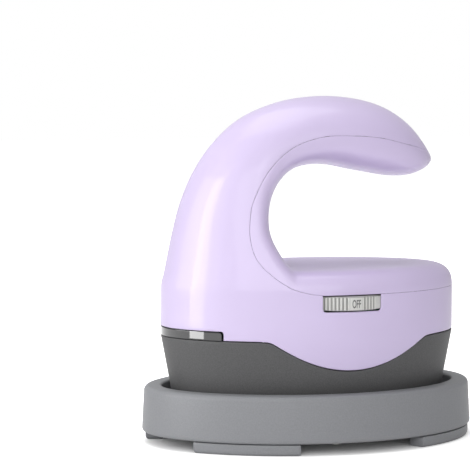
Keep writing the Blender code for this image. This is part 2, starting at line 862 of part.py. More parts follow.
def sized_ring(half_length, half_width, inset, z, leaned):
    """A ring of the tub: rows that are not leaned sit on the wider bottom outline."""
    grow = 0 if leaned else stand_draft
    return egg_ring(half_length + grow - inset, half_width + grow - inset, z)


def stand_bosses():
    x = stand_half_length - stand_boss_inset
    y = stand_half_width - stand_boss_inset
    return [(x, 0), (-x, 0), (0, y), (0, -y)]


def stand_base(material):
    low = base_bottom_z
    edge = stand_wall + gap
    bm = bmesh.new()
    add_rings(bm, [egg_ring(stand_half_length - edge, stand_half_width - edge, z)
                   for z in (low, low + base_thickness)])
    base = place_mesh("stand_base", bm, material)
    bm = bmesh.new()
    outer = (stand_half_length, stand_half_width)
    land = foot_inset + foot_land
    deep = foot_inset + foot_depth
    mid = low + base_thickness / 2
    section = [inset_corner(*outer, foot_inset, 0), inset_corner(*outer, foot_inset, foot_height),
               inset_corner(*outer, land, foot_height), inset_corner(*outer, land, mid),
               inset_corner(*outer, deep, mid), inset_corner(*outer, deep, 0)]
    for start, end in near_foot_angles:
        add_bar(bm, section, (start, end), 6)
        add_bar(bm, section, (start + pi, end + pi), 6)
    combine(base, place_mesh("stand_feet_blocks", bm), "UNION")
    bm = bmesh.new()
    for x, y in stand_bosses():
        add_post(bm, x, y, screw_hole_radius, low - overrun, low + base_thickness + overrun)
    combine(base, place_mesh("stand_base_holes", bm))
    return base


def stand_mat(material):
    bm = bmesh.new()
    low = stand_floor_z + gap
    half_length = sole_half_length - mat_end_inset
    half_width = sole_half_width - mat_side_inset
    add_rings(bm, [egg_ring(half_length, half_width, z, sheet_steps) for z in (low, low + mat_thickness)])
    return place_mesh("stand_mat", bm, material)


# Screws

def screws(name, places, seat_z, reach, material, up=1):
    """Pan-head screws whose heads rest on seat_z; up is -1 for ones driven from below."""
    head = up * gap
    profile = [(screw_shank_radius, -up * reach), (screw_shank_radius, head), (screw_head_radius, head),
               (screw_head_radius, head + up * screw_edge_height),
               (screw_crown_radius, head + up * screw_head_height)]
    bm = bmesh.new()
    add_turned(bm, (0, 0, 0), profile)
    first = place_mesh(name + "_1", bm, material)
    for number, (x, y) in enumerate(places, 1):
        screw = first if number == 1 else bpy.data.objects.new(f"{name}_{number}", first.data)
        if number > 1:
            bpy.context.collection.objects.link(screw)
        screw.location = (x, y, seat_z)


# Window and lights

def led_board_bottom():
    return skirt_line_z - 2 * gap


def status_window(material):
    outer = (shell_half_length, shell_half_width)
    low = skirt_line_z + gap / 2
    high = skirt_line_z + window_height - gap
    section = [inset_corner(*outer, inset, z) for inset, z in
               ((0, low), (window_thickness, low), (window_thickness, high), (0, high))]
    reach = window_half_angle - gap / shell_half_width
    bm = bmesh.new()
    add_bar(bm, section, (-reach, reach), 20)
    return place_mesh("status_window", bm, material)


def light_guide(material):
    outer = (shell_half_length, shell_half_width)
    low = skirt_line_z + (window_height - guide_height) / 2
    near = window_thickness + gap
    far = window_thickness + guide_thickness
    section = [inset_corner(*outer, inset, z) for inset, z in
               ((near, low), (far, low), (far, low + guide_height), (near, low + guide_height))]
    reach = window_half_angle * guide_reach_share
    bm = bmesh.new()
    add_bar(bm, section, (-reach, reach), 14)
    return place_mesh("light_guide", bm, material)


def led_board(material):
    """A small upright board with three lights on its front."""
    depth, width, height = led_board_size
    back = led_board_inset - shell_half_length
    front = back - depth
    led_depth, led_width = led_size
    outline = [(back, -width / 2), (back, width / 2), (front, width / 2)]
    for y in (led_pitch, 0, -led_pitch):
        outline += [(front, y + led_width / 2), (front - led_depth, y + led_width / 2),
                    (front - led_depth, y - led_width / 2), (front, y - led_width / 2)]
    outline.append((front, -width / 2))
    bm = bmesh.new()
    low = led_board_bottom()
    add_prism(bm, outline, low, low + height, "Z")
    return place_mesh("led_board", bm, material)


# Dial and control board

def dial_radius_at(angle):
    """Outer radius of the dial: plain pads at the settings, ribs between them."""
    for stop in dial_stops:
        turn = (angle - radians(stop) + pi) % (2 * pi) - pi
        if abs(turn) < dial_pad_angle / 2:
            return dial_radius
    rib = int(angle / (2 * pi) * 2 * dial_rib_count + 0.5) % 2
    return dial_radius - dial_rib_depth * rib


def dial_wheel(material):
    steps = 2 * dial_rib_count
    bore = dial_shaft_radius + gap
    low = dial_bottom_z
    rings = []
    for radius, z in ((None, low), (None, low + dial_height), (bore, low + dial_height), (bore, low)):
        ring = []
        for i in range(steps):
            angle = 2 * pi * i / steps
            reach = dial_radius_at(angle) if radius is None else radius
            ring.append(Vector((reach * sin(angle), -reach * cos(angle), z)))
        rings.append(ring)
    bm = bmesh.new()
    add_rings(bm, rings, looped=True)
    wheel = place_mesh("dial_wheel", bm, material)
    wheel.location = (dial_x, dial_centre_y, 0)
    return wheel


def switch_top_z():
    return dial_bottom_z - 2 * gap - switch_bush_height


def dial_shaft(material):
    low = board_z + board_thickness + gap + switch_floor + gap
    bm = bmesh.new()
    top = dial_bottom_z + dial_height
    add_turned(bm, (0, 0, 0), ((dial_shaft_radius, low), (dial_shaft_radius, top)), sides=24)
    shaft = place_mesh("dial_shaft", bm, material)
    shaft.location = (dial_x, dial_centre_y, 0)
    return shaft


def rotary_switch(material):
    x, y = dial_x, dial_centre_y
    low = board_z + board_thickness + gap
    half = switch_size / 2
    bm = bmesh.new()
    add_box(bm, (x - half, y - half, low), (x + half, y + half, switch_top_z()))
    switch = place_mesh("rotary_switch", bm, material)
    bm = bmesh.new()
    add_post(bm, x, y, switch_bush_radius, low + switch_floor, switch_top_z() + switch_bush_height, 24)
    combine(switch, place_mesh("switch_bush", bm), "UNION")
    bm = bmesh.new()
    add_post(bm, x, y, dial_shaft_radius + gap, low + switch_floor, switch_top_z() + overrun, 24)
    combine(switch, place_mesh("switch_bore", bm))
    return switch


def control_board(material):
    bm = bmesh.new()
    add_rings(bm, [egg_ring(board_half_length, board_half_width, z, sheet_steps)
                   for z in (board_z, board_z + board_thickness)])
    board = place_mesh("control_board", bm, material)
    bm = bmesh.new()
    for x, y in mirrored(board_posts()):
        add_post(bm, x, y, screw_hole_radius, board_z - overrun, board_z + board_thickness + overrun)
    combine(board, place_mesh("board_holes", bm))
    return board


def board_block(name, place, size, material):
    bm = bmesh.new()
    low = board_z + board_thickness + gap
    x, y = place
    add_box(bm, (x - size[0] / 2, y - size[1] / 2, low), (x + size[0] / 2, y + size[1] / 2, low + size[2]))
    return place_mesh(name, bm, material)


def filter_capacitor(material):
    bm = bmesh.new()
    x = capacitor_nose_inset - board_half_length
    low = board_z + board_thickness + gap
    profile = ((capacitor_radius, 0), (capacitor_radius, capacitor_height))
    add_turned(bm, (x, capacitor_y, low), profile, sides=20)
    return place_mesh("filter_capacitor", bm, material)


# Cord inlet

def cord_inlet(material):
    """A bush in the heel wall with a flange behind the wall and a bore for the cord."""
    face = shell_half_length - inlet_recess
    flange_front = shell_half_length - shell_wall - inlet_flange_gap
    flange_back = flange_front - inlet_flange_thickness
    profile = ((inlet_bore_radius, face), (inlet_neck_radius, face), (inlet_neck_radius, flange_front),
               (inlet_flange_radius, flange_front), (inlet_flange_radius, flange_back),
               (inlet_neck_radius, flange_back), (inlet_neck_radius, flange_back - inlet_tail),
               (inlet_bore_radius, flange_back - inlet_tail))
    bm = bmesh.new()
    add_turned(bm, (0, 0, inlet_z), profile, "X", 20, looped=True)
    return place_mesh("cord_inlet", bm, material)


def cord_clamp(material):
    depth, width, height = clamp_size
    low = clamp_z() + gap
    bm = bmesh.new()
    back = shell_half_length - clamp_inset - depth / 2
    add_box(bm, (back, -width / 2, low), (back + depth, width / 2, low + height))
    clamp = place_mesh("cord_clamp", bm, material)
    bm = bmesh.new()
    for x, y in clamp_posts():
        add_post(bm, x, y, screw_hole_radius, low - overrun, low + height + overrun)
    combine(clamp, place_mesh("clamp_holes", bm))
    return clamp


def build():
    clear_scene()
    lilac = finish("lilac_plastic", (0.72, 0.62, 0.84), 0.18)
    charcoal = finish("charcoal_plastic", (0.10, 0.10, 0.105), 0.55)
    stand_grey = finish("stand_plastic", (0.33, 0.34, 0.35), 0.50)
    silicone = finish("grey_silicone", (0.25, 0.25, 0.26), 0.75)
    coated = finish("coated_aluminium", (0.86, 0.82, 0.76), 0.45)
    steel = finish("screw_steel", (0.62, 0.62, 0.60), 0.35, 1.0)
    silver = finish("silver_plastic", (0.62, 0.62, 0.61), 0.30)
    black_window = finish("window_plastic", (0.02, 0.02, 0.022), 0.08)
    clear = finish("guide_plastic", (0.85, 0.87, 0.88), 0.15)
    board_green = finish("board_laminate", (0.05, 0.22, 0.12), 0.45)
    black = finish("black_plastic", (0.03, 0.03, 0.03), 0.5)
    fibre = finish("ceramic_fibre", (0.82, 0.80, 0.76), 0.95)

    stand_tub(stand_grey)
    stand_base(stand_grey)
    stand_mat(silicone)
    screws("stand_screw", stand_bosses(), base_bottom_z, stand_boss_height + base_thickness, steel, -1)

    soleplate(coated)
    heater_element(steel)
    thermal_cutout(black)
    thermal_fuse(steel)
    temperature_sensor(fibre)
    low = heater_top_z() + gap
    sheet_over_heater("heater_insulation", low, insulation_thickness, fibre)
    low += insulation_thickness + gap
    sheet_over_heater("heat_shield", low, shield_thickness, steel)
    screws("sole_screw", mirrored(sole_posts()), shelf_z, screw_depth, steel)
    heater_leads(silicone)

    skirt(charcoal)
    outer_shell(lilac)
    inner_cover(lilac)
    screws("shell_screw", lug_places(), lug_bottom_z() + lug_thickness, screw_depth, steel)
    status_window(black_window)
    light_guide(clear)
    led_board(board_green)
    control_board(board_green)
    screws("board_screw", mirrored(board_posts()), board_z + board_thickness, screw_depth, steel)
    rotary_switch(black)
    board_block("power_relay", relay_place, relay_box, black)
    terminal_place = (board_half_length - terminal_heel_inset, terminal_y)
    board_block("terminal_block", terminal_place, terminal_box, board_green)
    filter_capacitor(black)
    dial_wheel(silver)
    dial_shaft(silver)
    cord_inlet(charcoal)
    cord_clamp(black)
    screws("clamp_screw", clamp_posts(), clamp_z() + gap + clamp_size[2], screw_depth, steel)


build()
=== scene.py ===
import json
import bpy
import bmesh
import numpy as np
from math import cos, pi, radians, sin, sqrt, tan
from mathutils import Matrix, Vector

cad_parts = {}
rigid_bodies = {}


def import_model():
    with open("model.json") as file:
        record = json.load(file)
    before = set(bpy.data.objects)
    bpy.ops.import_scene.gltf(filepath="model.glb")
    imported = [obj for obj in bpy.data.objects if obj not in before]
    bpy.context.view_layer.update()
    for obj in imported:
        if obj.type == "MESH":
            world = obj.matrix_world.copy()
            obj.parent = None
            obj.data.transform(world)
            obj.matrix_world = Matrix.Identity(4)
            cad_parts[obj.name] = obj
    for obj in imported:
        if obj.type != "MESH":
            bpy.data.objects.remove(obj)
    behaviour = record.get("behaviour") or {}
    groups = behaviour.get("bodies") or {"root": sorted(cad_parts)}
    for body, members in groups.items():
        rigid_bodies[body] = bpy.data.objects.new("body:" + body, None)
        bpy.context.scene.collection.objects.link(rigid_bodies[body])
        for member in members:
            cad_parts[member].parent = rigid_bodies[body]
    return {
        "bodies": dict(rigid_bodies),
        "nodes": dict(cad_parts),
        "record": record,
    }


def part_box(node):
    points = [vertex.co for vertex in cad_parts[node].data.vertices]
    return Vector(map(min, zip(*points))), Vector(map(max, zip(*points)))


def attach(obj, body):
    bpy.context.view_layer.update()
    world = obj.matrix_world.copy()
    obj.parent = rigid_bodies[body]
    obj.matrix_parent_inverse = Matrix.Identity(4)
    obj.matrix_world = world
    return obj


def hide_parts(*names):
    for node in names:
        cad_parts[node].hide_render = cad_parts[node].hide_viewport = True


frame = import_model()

# Looks of a mini handheld heat press in its safety stand. Metres, +Z up, nose at -X.

for thing in list(bpy.data.objects):
    if thing not in frame["nodes"].values() and thing not in frame["bodies"].values():
        bpy.data.objects.remove(thing, do_unlink=True)
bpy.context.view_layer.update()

mm = 0.001
gap = 0.3 * mm  # between pieces that meet
merge = 0.001 * mm  # vertices nearer than this become one
planSteps = 256  # facets round the smoothed ovals
fineSteps = 320  # and round the ovals that stay as they are drawn
sharpAngle = 35  # edges that turn by more degrees than this look sharp
wheelRadius = 18.2 * mm  # over the ribs of the dial

# Oval plan shared by every ring of the press and its stand
plan = {"eggShare": 0.04, "pinchShare": -0.063}


def eggPoint(halfLength, halfWidth, angle, z):  # angle 0 is the nose, 90 degrees faces -Y
    along = cos(angle)
    fullness = 1 - plan["eggShare"] * along + plan["pinchShare"] * along * along
    return Vector((-halfLength * along, -halfWidth * sin(angle) * fullness, z))


# Sizes of the press that several pieces follow
press = {
    "halfLength": 57.0 * mm, "halfWidth": 35.5 * mm,
    "endTaper": 5.4 * mm, "sideTaper": 4.7 * mm,  # the skirt's foot is narrower by these
    "skirtBottom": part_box("skirt")[0].z,
    "skirtLine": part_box("status_window")[0].z - gap / 2,
    "seam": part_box("dial_wheel")[1].z + 0.4 * mm,  # leaves the wheel a little room
    "handleRise": 72.0 * mm,
    "wall": 2.4 * mm,
}


def flare(z):  # half sizes of the body at a height
    share = min(1.0, (z - press["skirtBottom"]) / (press["skirtLine"] - press["skirtBottom"]))
    return (press["halfLength"] - (1 - share) * press["endTaper"],
            press["halfWidth"] - (1 - share) * press["sideTaper"])


dip = {"centreX": 6.7 * mm, "halfSpan": 30.8 * mm, "depth": 11.3 * mm, "filletShare": 0.10}


def dipHeight(x):  # line between shell and skirt
    def soft(value):
        return (value + np.sqrt(value * value + dip["filletShare"] ** 2)) / 2
    bowl = soft(1 - ((x - dip["centreX"]) / dip["halfSpan"]) ** 2)
    rest = soft(1 - (press["halfLength"] / dip["halfSpan"]) ** 2)
    return press["skirtLine"] - dip["depth"] * np.maximum(0.0, bowl - rest)


def smoothThrough(points, steps):  # a smooth curve through given points
    points = [Vector(point) for point in points]
    rows = [points[0] * 2 - points[1], *points, points[-1] * 2 - points[-2]]
    curve = []
    for a, b, c, d in zip(rows, rows[1:], rows[2:], rows[3:]):
        for i in range(steps):
            t = i / steps
            curve.append(0.5 * ((2 * b) + (c - a) * t + (2 * a - 5 * b + 4 * c - d) * t ** 2
                                + (3 * b - a - 3 * c + d) * t ** 3))
    return curve + [points[-1]]


# Mesh helpers

def skin(bm, columns, rows, place, closeAcross=True, closeAlong=False):
    # lays a grid over a surface; place takes the column and the row
    grid = bmesh.ops.create_grid(bm, x_segments=columns, y_segments=rows, size=0.5)
    for vert in grid["verts"]:
        vert.co = place(round((vert.co.x + 0.5) * columns), round((vert.co.y + 0.5) * rows))
    if closeAcross or closeAlong:
        bmesh.ops.remove_doubles(bm, verts=grid["verts"], dist=merge)
    return [vert for vert in grid["verts"] if vert.is_valid]


def capEnds(bm, verts):  # closes the open ends of a grid
    edges = {edge for vert in verts for edge in vert.link_edges if edge.is_boundary}
    return bmesh.ops.holes_fill(bm, edges=list(edges), sides=0)["faces"]


def ovalRings(bm, rows, steps=planSteps, closed=False):
    # rings round the plan; each row takes an angle and gives a point
    rows = rows + rows[:1] if closed else rows

    def place(i, j):
        return rows[j](2 * pi * (i % steps) / steps)

    verts = skin(bm, steps, len(rows) - 1, place, True, closed)
    if not closed:
        capEnds(bm, verts)


def ring(halfLength, halfWidth, inset, z):
    return lambda angle: eggPoint(halfLength - inset, halfWidth - inset, angle, z)


def rings(halfLength, halfWidth, outline):
    return [ring(halfLength, halfWidth, inset, z) for inset, z in outline]


def roundCorners(corners, steps):
    # corners hold across, up and radius; gives the outline with round corners
    points = []
    for i, (across, up, radius) in enumerate(corners):
        here = Vector((across, up))
        if radius == 0:
            points.append(here)
            continue
        back = (Vector(corners[i - 1][:2]) - here).normalized()
        ahead = (Vector(corners[(i + 1) % len(corners)][:2]) - here).normalized()
        half = back.angle(ahead) / 2
        centre = here + (back + ahead).normalized() * radius / sin(half)
        start = here + back * radius / tan(half) - centre
        end = here + ahead * radius / tan(half) - centre
        turn = start.angle(end)
        for k in range(steps + 1):
            t = k / steps
            points.append(centre + (start * sin((1 - t) * turn) + end * sin(t * turn)) / sin(turn))
    return points


def spun(bm, centre, profile, steps, axis="Z", closed=False):
    # turns a profile of radii and distances along the axis
    verts = [bm.verts.new((radius, 0, along)) for radius, along in profile]
    ends = list(zip(verts, verts[1:]))
    if closed:
        ends.append((verts[-1], verts[0]))
    edges = [bm.edges.new(pair) for pair in ends]
    made = bmesh.ops.spin(bm, geom=verts + edges, cent=(0, 0, 0), axis=(0, 0, 1), angle=2 * pi,
                          steps=steps, use_merge=True)
    loop = {vert for vert in made["geom_last"] if isinstance(vert, bmesh.types.BMVert)} | set(verts)
    reached = set()
    while loop:  # everything joined to the profile
        vert = loop.pop()
        reached.add(vert)
        loop |= {edge.other_vert(vert) for edge in vert.link_edges} - reached
    turn = {"Z": Matrix.Identity(4), "X": Matrix.Rotation(pi / 2, 4, "Y")}[axis]
    bmesh.ops.transform(bm, matrix=Matrix.Translation(centre) @ turn, verts=list(reached))
    bmesh.ops.remove_doubles(bm, verts=list(reached), dist=merge)


screwCounts = {"stand_screw": 4, "sole_screw": 4, "shell_screw": 4, "board_screw": 4, "clamp_screw": 2}


def screwNodes(*kinds):
    return [f"{kind}_{number}" for kind in kinds for number in range(1, screwCounts[kind] + 1)]


def middleOf(node):
    low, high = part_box(node)
    return (low + high) / 2


dialCentre = middleOf("dial_shaft")


def looseMesh(bm, name):  # a mesh object that belongs to no body
    mesh = bpy.data.meshes.new(name)
    bm.to_mesh(mesh)
    bm.free()
    thing = bpy.data.objects.new(name, mesh)
    bpy.context.scene.collection.objects.link(thing)
    return thing


def addPiece(name, bm, body, slot, replaced=(), sharp=sharpAngle):
    bmesh.ops.recalc_face_normals(bm, faces=bm.faces)
    piece = looseMesh(bm, name)
    piece.data.shade_smooth()
    piece.data.set_sharp_from_angle(angle=radians(sharp))
    piece.data.materials.append(finishes[slotFinish[slot]])
    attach(piece, body)
    if replaced:
        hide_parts(*replaced)
    return piece


def meshOf(thing):  # a new mesh of the object as it shows
    bpy.context.view_layer.update()
    return bpy.data.meshes.new_from_object(thing.evaluated_get(bpy.context.evaluated_depsgraph_get()))


def modify(piece, kind, **settings):
    change = piece.modifiers.new(kind, kind)
    for name, value in settings.items():
        setattr(change, name, value)


def settle(piece):  # the piece's modifiers become its mesh
    mesh = meshOf(piece)
    piece.modifiers.clear()
    piece.data = mesh


def carve(piece, cutter, crossesItself=False):  # takes the cutter's shape out of the piece
    modify(piece, "BOOLEAN", operation="DIFFERENCE", object=cutter, use_self=crossesItself)
    settle(piece)
    bpy.data.objects.remove(cutter, do_unlink=True)


# Materials

noiseDetail = 2.0


def newFinish(name, color, roughness, metallic=0.0):
    material = bpy.data.materials.new(name)
    material.use_nodes = True
    shader = material.node_tree.nodes["Principled BSDF"]
    shader.inputs["Base Color"].default_value = (*color, 1.0)
    shader.inputs["Roughness"].default_value = roughness
    shader.inputs["Metallic"].default_value = metallic
    return material, material.node_tree, shader


def grain(tree, size, detail=noiseDetail):  # noise with features of about this size
    place = tree.nodes.new("ShaderNodeTexCoord")
    noise = tree.nodes.new("ShaderNodeTexNoise")
    noise.inputs["Scale"].default_value = 1 / size
    noise.inputs["Detail"].default_value = detail
    tree.links.new(place.outputs["Object"], noise.inputs["Vector"])
    return noise


def calc(tree, kind, operation, *values):  # a maths node fed by sockets or by constants
    node = tree.nodes.new(kind)
    node.operation = operation
    for socket, value in zip(node.inputs, values):
        if isinstance(value, bpy.types.NodeSocket):
            tree.links.new(value, socket)
        else:
            socket.default_value = value
    return node


def ramp(tree, source, stops):  # colours along a value
    node = tree.nodes.new("ShaderNodeValToRGB")
    for i, (position, color) in enumerate(stops):
        stop = node.color_ramp.elements[i] if i < 2 else node.color_ramp.elements.new(position)
        stop.position = position
        stop.color = (*color, 1.0)
    tree.links.new(source, node.inputs["Fac"])
    return node.outputs["Color"]


def bump(tree, shader, height, distance):
    node = tree.nodes.new("ShaderNodeBump")
    node.inputs["Distance"].default_value = distance
    tree.links.new(height, node.inputs["Height"])
    tree.links.new(node.outputs["Normal"], shader.inputs["Normal"])


def tinted(color, share):
    return tuple(min(1.0, part * share) for part in color)


cloudRamp = (0.3, 0.7)  # where the noise turns to its end colours


def mottled(name, look):
    # a plain finish with faint cloudiness and, where its look has them, a clear coat and a fine bump
    color, spread = look["color"], look["spread"]
    material, tree, shader = newFinish(name, color, look["roughness"], look.get("metallic", 0.0))
    stops = ((cloudRamp[0], tinted(color, 1 - spread)), (cloudRamp[1], tinted(color, 1 + spread)))
    cloud = grain(tree, look["cloudSize"])
    tree.links.new(ramp(tree, cloud.outputs["Fac"], stops), shader.inputs["Base Color"])
    for socket in ("Specular IOR Level", "Coat Weight", "Coat Roughness"):
        if socket in look:
            shader.inputs[socket].default_value = look[socket]
    if "bumpDepth" in look:
        waves = grain(tree, look["bumpSize"], look.get("bumpDetail", noiseDetail))
        bump(tree, shader, waves.outputs["Fac"], look["bumpDepth"])
    return material


looks = {
    "lilacGloss": {"color": (0.71, 0.61, 0.87), "roughness": 0.45, "cloudSize": 25 * mm, "spread": 0.012,
                   "Specular IOR Level": 0.35, "Coat Weight": 0.3, "Coat Roughness": 0.04,
                   "bumpSize": 6 * mm, "bumpDetail": 1.0, "bumpDepth": 0.006 * mm},
    # painted shade: dark lilac on the shell's inner faces and cut rims, so the slot, seam and window
    # openings look shadowed
    "lilacPaintedShade": {"color": (0.10, 0.07, 0.15), "roughness": 0.6, "cloudSize": 2 * mm, "spread": 0.05},
    "charcoalSpark": {"color": (0.098, 0.098, 0.100), "roughness": 0.55, "cloudSize": 0.35 * mm,
                      "spread": 0.16, "Specular IOR Level": 0.3, "bumpSize": 0.22 * mm,
                      "bumpDepth": 0.03 * mm},
    "standSatin": {"color": (0.27, 0.275, 0.29), "roughness": 0.5, "cloudSize": 0.5 * mm, "spread": 0.05,
                   "Specular IOR Level": 0.3, "bumpSize": 0.25 * mm, "bumpDepth": 0.012 * mm},
    "smokedGloss": {"color": (0.018, 0.018, 0.02), "roughness": 0.06, "cloudSize": 8 * mm,
                    "spread": 0.1, "Coat Weight": 1.0},
    "dialInk": {"color": (0.16, 0.16, 0.16), "roughness": 0.6, "cloudSize": 0.5 * mm, "spread": 0.1},
    "matSilicone": {"color": (0.22, 0.22, 0.23), "roughness": 0.7, "cloudSize": 1 * mm, "spread": 0.08,
                    "bumpSize": 0.4 * mm, "bumpDepth": 0.02 * mm},
    "zincSteel": {"color": (0.62, 0.62, 0.60), "roughness": 0.32, "metallic": 1.0,
                  "cloudSize": 0.8 * mm, "spread": 0.08},
    "guidePlastic": {"color": (0.82, 0.85, 0.87), "roughness": 0.15, "cloudSize": 4 * mm, "spread": 0.02},
    "boardLaminate": {"color": (0.04, 0.20, 0.10), "roughness": 0.4, "cloudSize": 0.8 * mm, "spread": 0.2},
    "blackMoulding": {"color": (0.03, 0.03, 0.03), "roughness": 0.5, "cloudSize": 1 * mm, "spread": 0.1,
                      "bumpSize": 0.3 * mm, "bumpDepth": 0.01 * mm},
    "fibreFelt": {"color": (0.80, 0.78, 0.73), "roughness": 0.95, "cloudSize": 0.6 * mm, "spread": 0.12,
                  "bumpSize": 0.4 * mm, "bumpDepth": 0.15 * mm},
}
silver = {"color": (0.60, 0.60, 0.58), "roughness": 0.42, "metallic": 0.1, "bumpSize": 0.6 * mm,
          "bumpDepth": 0.01 * mm,
          # colours by the share of the wheel's radius: its faces, painted shade in a groove, a painted
          # highlight on a rib
          "stops": ((0.955, (0.56, 0.56, 0.54)), (0.975, (0.27, 0.27, 0.26)), (0.995, (0.66, 0.66, 0.64)))}
coating = {"color": (0.88, 0.84, 0.78), "roughness": 0.45, "speckSize": 0.5 * mm, "speckDetail": 4.0,
           "stops": ((0.3, (0.80, 0.75, 0.68)), (0.6, (0.90, 0.86, 0.80))), "bumpDepth": 0.02 * mm,
           "edgeHeight": 1.0 * mm, "edgeBlend": 0.1 * mm, "bareMetal": (0.42, 0.37, 0.32, 1.0)}


def silverPaintedGrooveShade():
    # silver paint, with painted shade in the grooves between the ribs and a painted highlight on the rib
    # crests
    material, tree, shader = newFinish("silverPaintedGrooveShade", silver["color"], silver["roughness"],
                                       silver["metallic"])
    place = tree.nodes.new("ShaderNodeTexCoord")
    centre, share = (dialCentre.x, dialCentre.y, 0), (1 / wheelRadius, 1 / wheelRadius, 0)
    offset = calc(tree, "ShaderNodeVectorMath", "SUBTRACT", place.outputs["Object"], centre)
    flat = calc(tree, "ShaderNodeVectorMath", "MULTIPLY", offset.outputs["Vector"], share)
    reach = calc(tree, "ShaderNodeVectorMath", "LENGTH", flat.outputs["Vector"])
    tree.links.new(ramp(tree, reach.outputs["Value"], silver["stops"]), shader.inputs["Base Color"])
    bump(tree, shader, grain(tree, silver["bumpSize"]).outputs["Fac"], silver["bumpDepth"])
    return material


def creamCoating():
    # speckled cream coating on the face and its round edge, bare metal above
    material, tree, shader = newFinish("creamCoating", coating["color"], coating["roughness"])
    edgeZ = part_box("soleplate")[0].z + coating["edgeHeight"]
    speck = grain(tree, coating["speckSize"], coating["speckDetail"])
    height = tree.nodes.new("ShaderNodeSeparateXYZ")
    tree.links.new(speck.inputs["Vector"].links[0].from_socket, height.inputs["Vector"])
    above = tree.nodes.new("ShaderNodeMapRange")
    above.inputs["From Min"].default_value = edgeZ - coating["edgeBlend"]
    above.inputs["From Max"].default_value = edgeZ + coating["edgeBlend"]
    tree.links.new(height.outputs["Z"], above.inputs["Value"])
    mix = tree.nodes.new("ShaderNodeMixRGB")
    mix.inputs["Color2"].default_value = coating["bareMetal"]
    tree.links.new(above.outputs["Result"], mix.inputs["Fac"])
    tree.links.new(ramp(tree, speck.outputs["Fac"], coating["stops"]), mix.inputs["Color1"])
    tree.links.new(mix.outputs["Color"], shader.inputs["Base Color"])
    bump(tree, shader, speck.outputs["Fac"], coating["bumpDepth"])
    return material


finishes = {name: mottled(name, look) for name, look in looks.items()}
finishes["silverPaintedGrooveShade"] = silverPaintedGrooveShade()
finishes["creamCoating"] = creamCoating()
slotFinish = {
    "lilac_plastic": "lilacGloss", "charcoal_plastic": "charcoalSpark", "stand_plastic": "standSatin",
    "silicone": "matSilicone", "coated_aluminium": "creamCoating", "screw_steel": "zincSteel",
    "silver_plastic": "silverPaintedGrooveShade", "window_plastic": "smokedGloss", "guide_plastic": "guidePlastic",
    "board_laminate": "boardLaminate", "black_plastic": "blackMoulding", "ceramic_fibre": "fibreFelt",
    "ceramic": "fibreFelt",
}
for row in frame["record"]["subparts"]:  # every CAD node gets its worked finish
    mesh = frame["nodes"][row["node"]].data
    mesh.materials.clear()
    mesh.materials.append(finishes[slotFinish[row["material_slot"]]])
print("finishes ready")


# Press form: oval body with a flat deck, and the arch of the handle rising from its nose

deck = {"rollHeight": 8.5 * mm, "rollWidth": 10.5 * mm, "rollSteps": 20, "wallSteps": 5,
        "rollFullness": 0.76}  # 1 is a quarter ellipse, less is squarer
handle = {
    "coverRoll": 8.0 * mm, "rollShare": 0.33, "spanSteps": 8, "halfSteps": 40,
    # outer x, outer z, inner x, inner z, half width and back, as shares of the press's sizes
    "sectionShares": (
        (-0.949, -0.450, -0.250, -0.450, 0.924, 0.949), (-1.000, -0.233, -0.250, -0.233, 1.000, 1.000),
        (-1.000, -0.089, -0.250, -0.089, 1.000, 1.000), (-0.991, 0.029, -0.149, 0.057, 0.986, 0.982),
        (-0.954, 0.182, -0.240, 0.161, 0.907, 0.860), (-0.914, 0.328, -0.316, 0.279, 0.803, 0.702),
        (-0.866, 0.460, -0.326, 0.383, 0.713, 0.561), (-0.784, 0.606, -0.295, 0.485, 0.645, 0.439),
        (-0.655, 0.753, -0.226, 0.569, 0.597, 0.360), (-0.461, 0.886, -0.130, 0.622, 0.569, 0.298),
        (-0.200, 0.970, 0.000, 0.642, 0.558, 0.272), (0.070, 0.999, 0.123, 0.638, 0.552, 0.263),
        (0.316, 0.985, 0.254, 0.617, 0.544, 0.254), (0.509, 0.941, 0.395, 0.596, 0.518, 0.237),
        (0.665, 0.864, 0.540, 0.577, 0.465, 0.202), (0.770, 0.775, 0.675, 0.578, 0.366, 0.140),
        (0.833, 0.705, 0.777, 0.606, 0.225, 0.070), (0.865, 0.672, 0.853, 0.644, 0.070, 0.021),
    ),
    # side-view line where the cover meets the shell, tip to deck
    "seamShares": (
        (0.872, 0.660), (0.781, 0.706), (0.684, 0.732), (0.565, 0.754), (0.389, 0.785), (0.193, 0.797),
        (-0.012, 0.792), (-0.215, 0.738), (-0.380, 0.625), (-0.489, 0.479), (-0.518, 0.389),
        (-0.528, 0.289), (-0.500, 0.188), (-0.418, 0.107), (-0.300, 0.040), (-0.181, 0.010),
        (-0.088, 0.000),
    ),
}
remesh = {"voxel": 0.9 * mm, "smoothing": 14, "strength": 0.5}


def handleRing(row, i):
    # a point of one section: i runs over the near side, then back over the far side
    outerX, outerZ, innerX, innerZ, width, back = row
    outer = Vector((outerX * press["halfLength"], 0, press["seam"] + outerZ * press["handleRise"]))
    inner = Vector((innerX * press["halfLength"], 0, press["seam"] + innerZ * press["handleRise"]))
    depth = (inner - outer).length
    steps = handle["halfSteps"]
    side = -1 if i <= steps else 1
    k = i if i <= steps else 2 * steps - i
    along = depth * (1 - cos(pi * k / steps)) / 2
    c = max(0.0, 1 - along / (back * press["halfLength"]))
    fullness = 1 - plan["eggShare"] * c + plan["pinchShare"] * c * c
    y = width * press["halfWidth"] * sqrt(1 - c * c) * fullness
    roll = min(handle["coverRoll"], handle["rollShare"] * depth)
    if along > depth - roll:
        y *= sqrt(max(0.0, 1 - ((along - depth + roll) / roll) ** 2))
    return outer + (inner - outer).normalized() * along + Vector((0, side * y, 0))


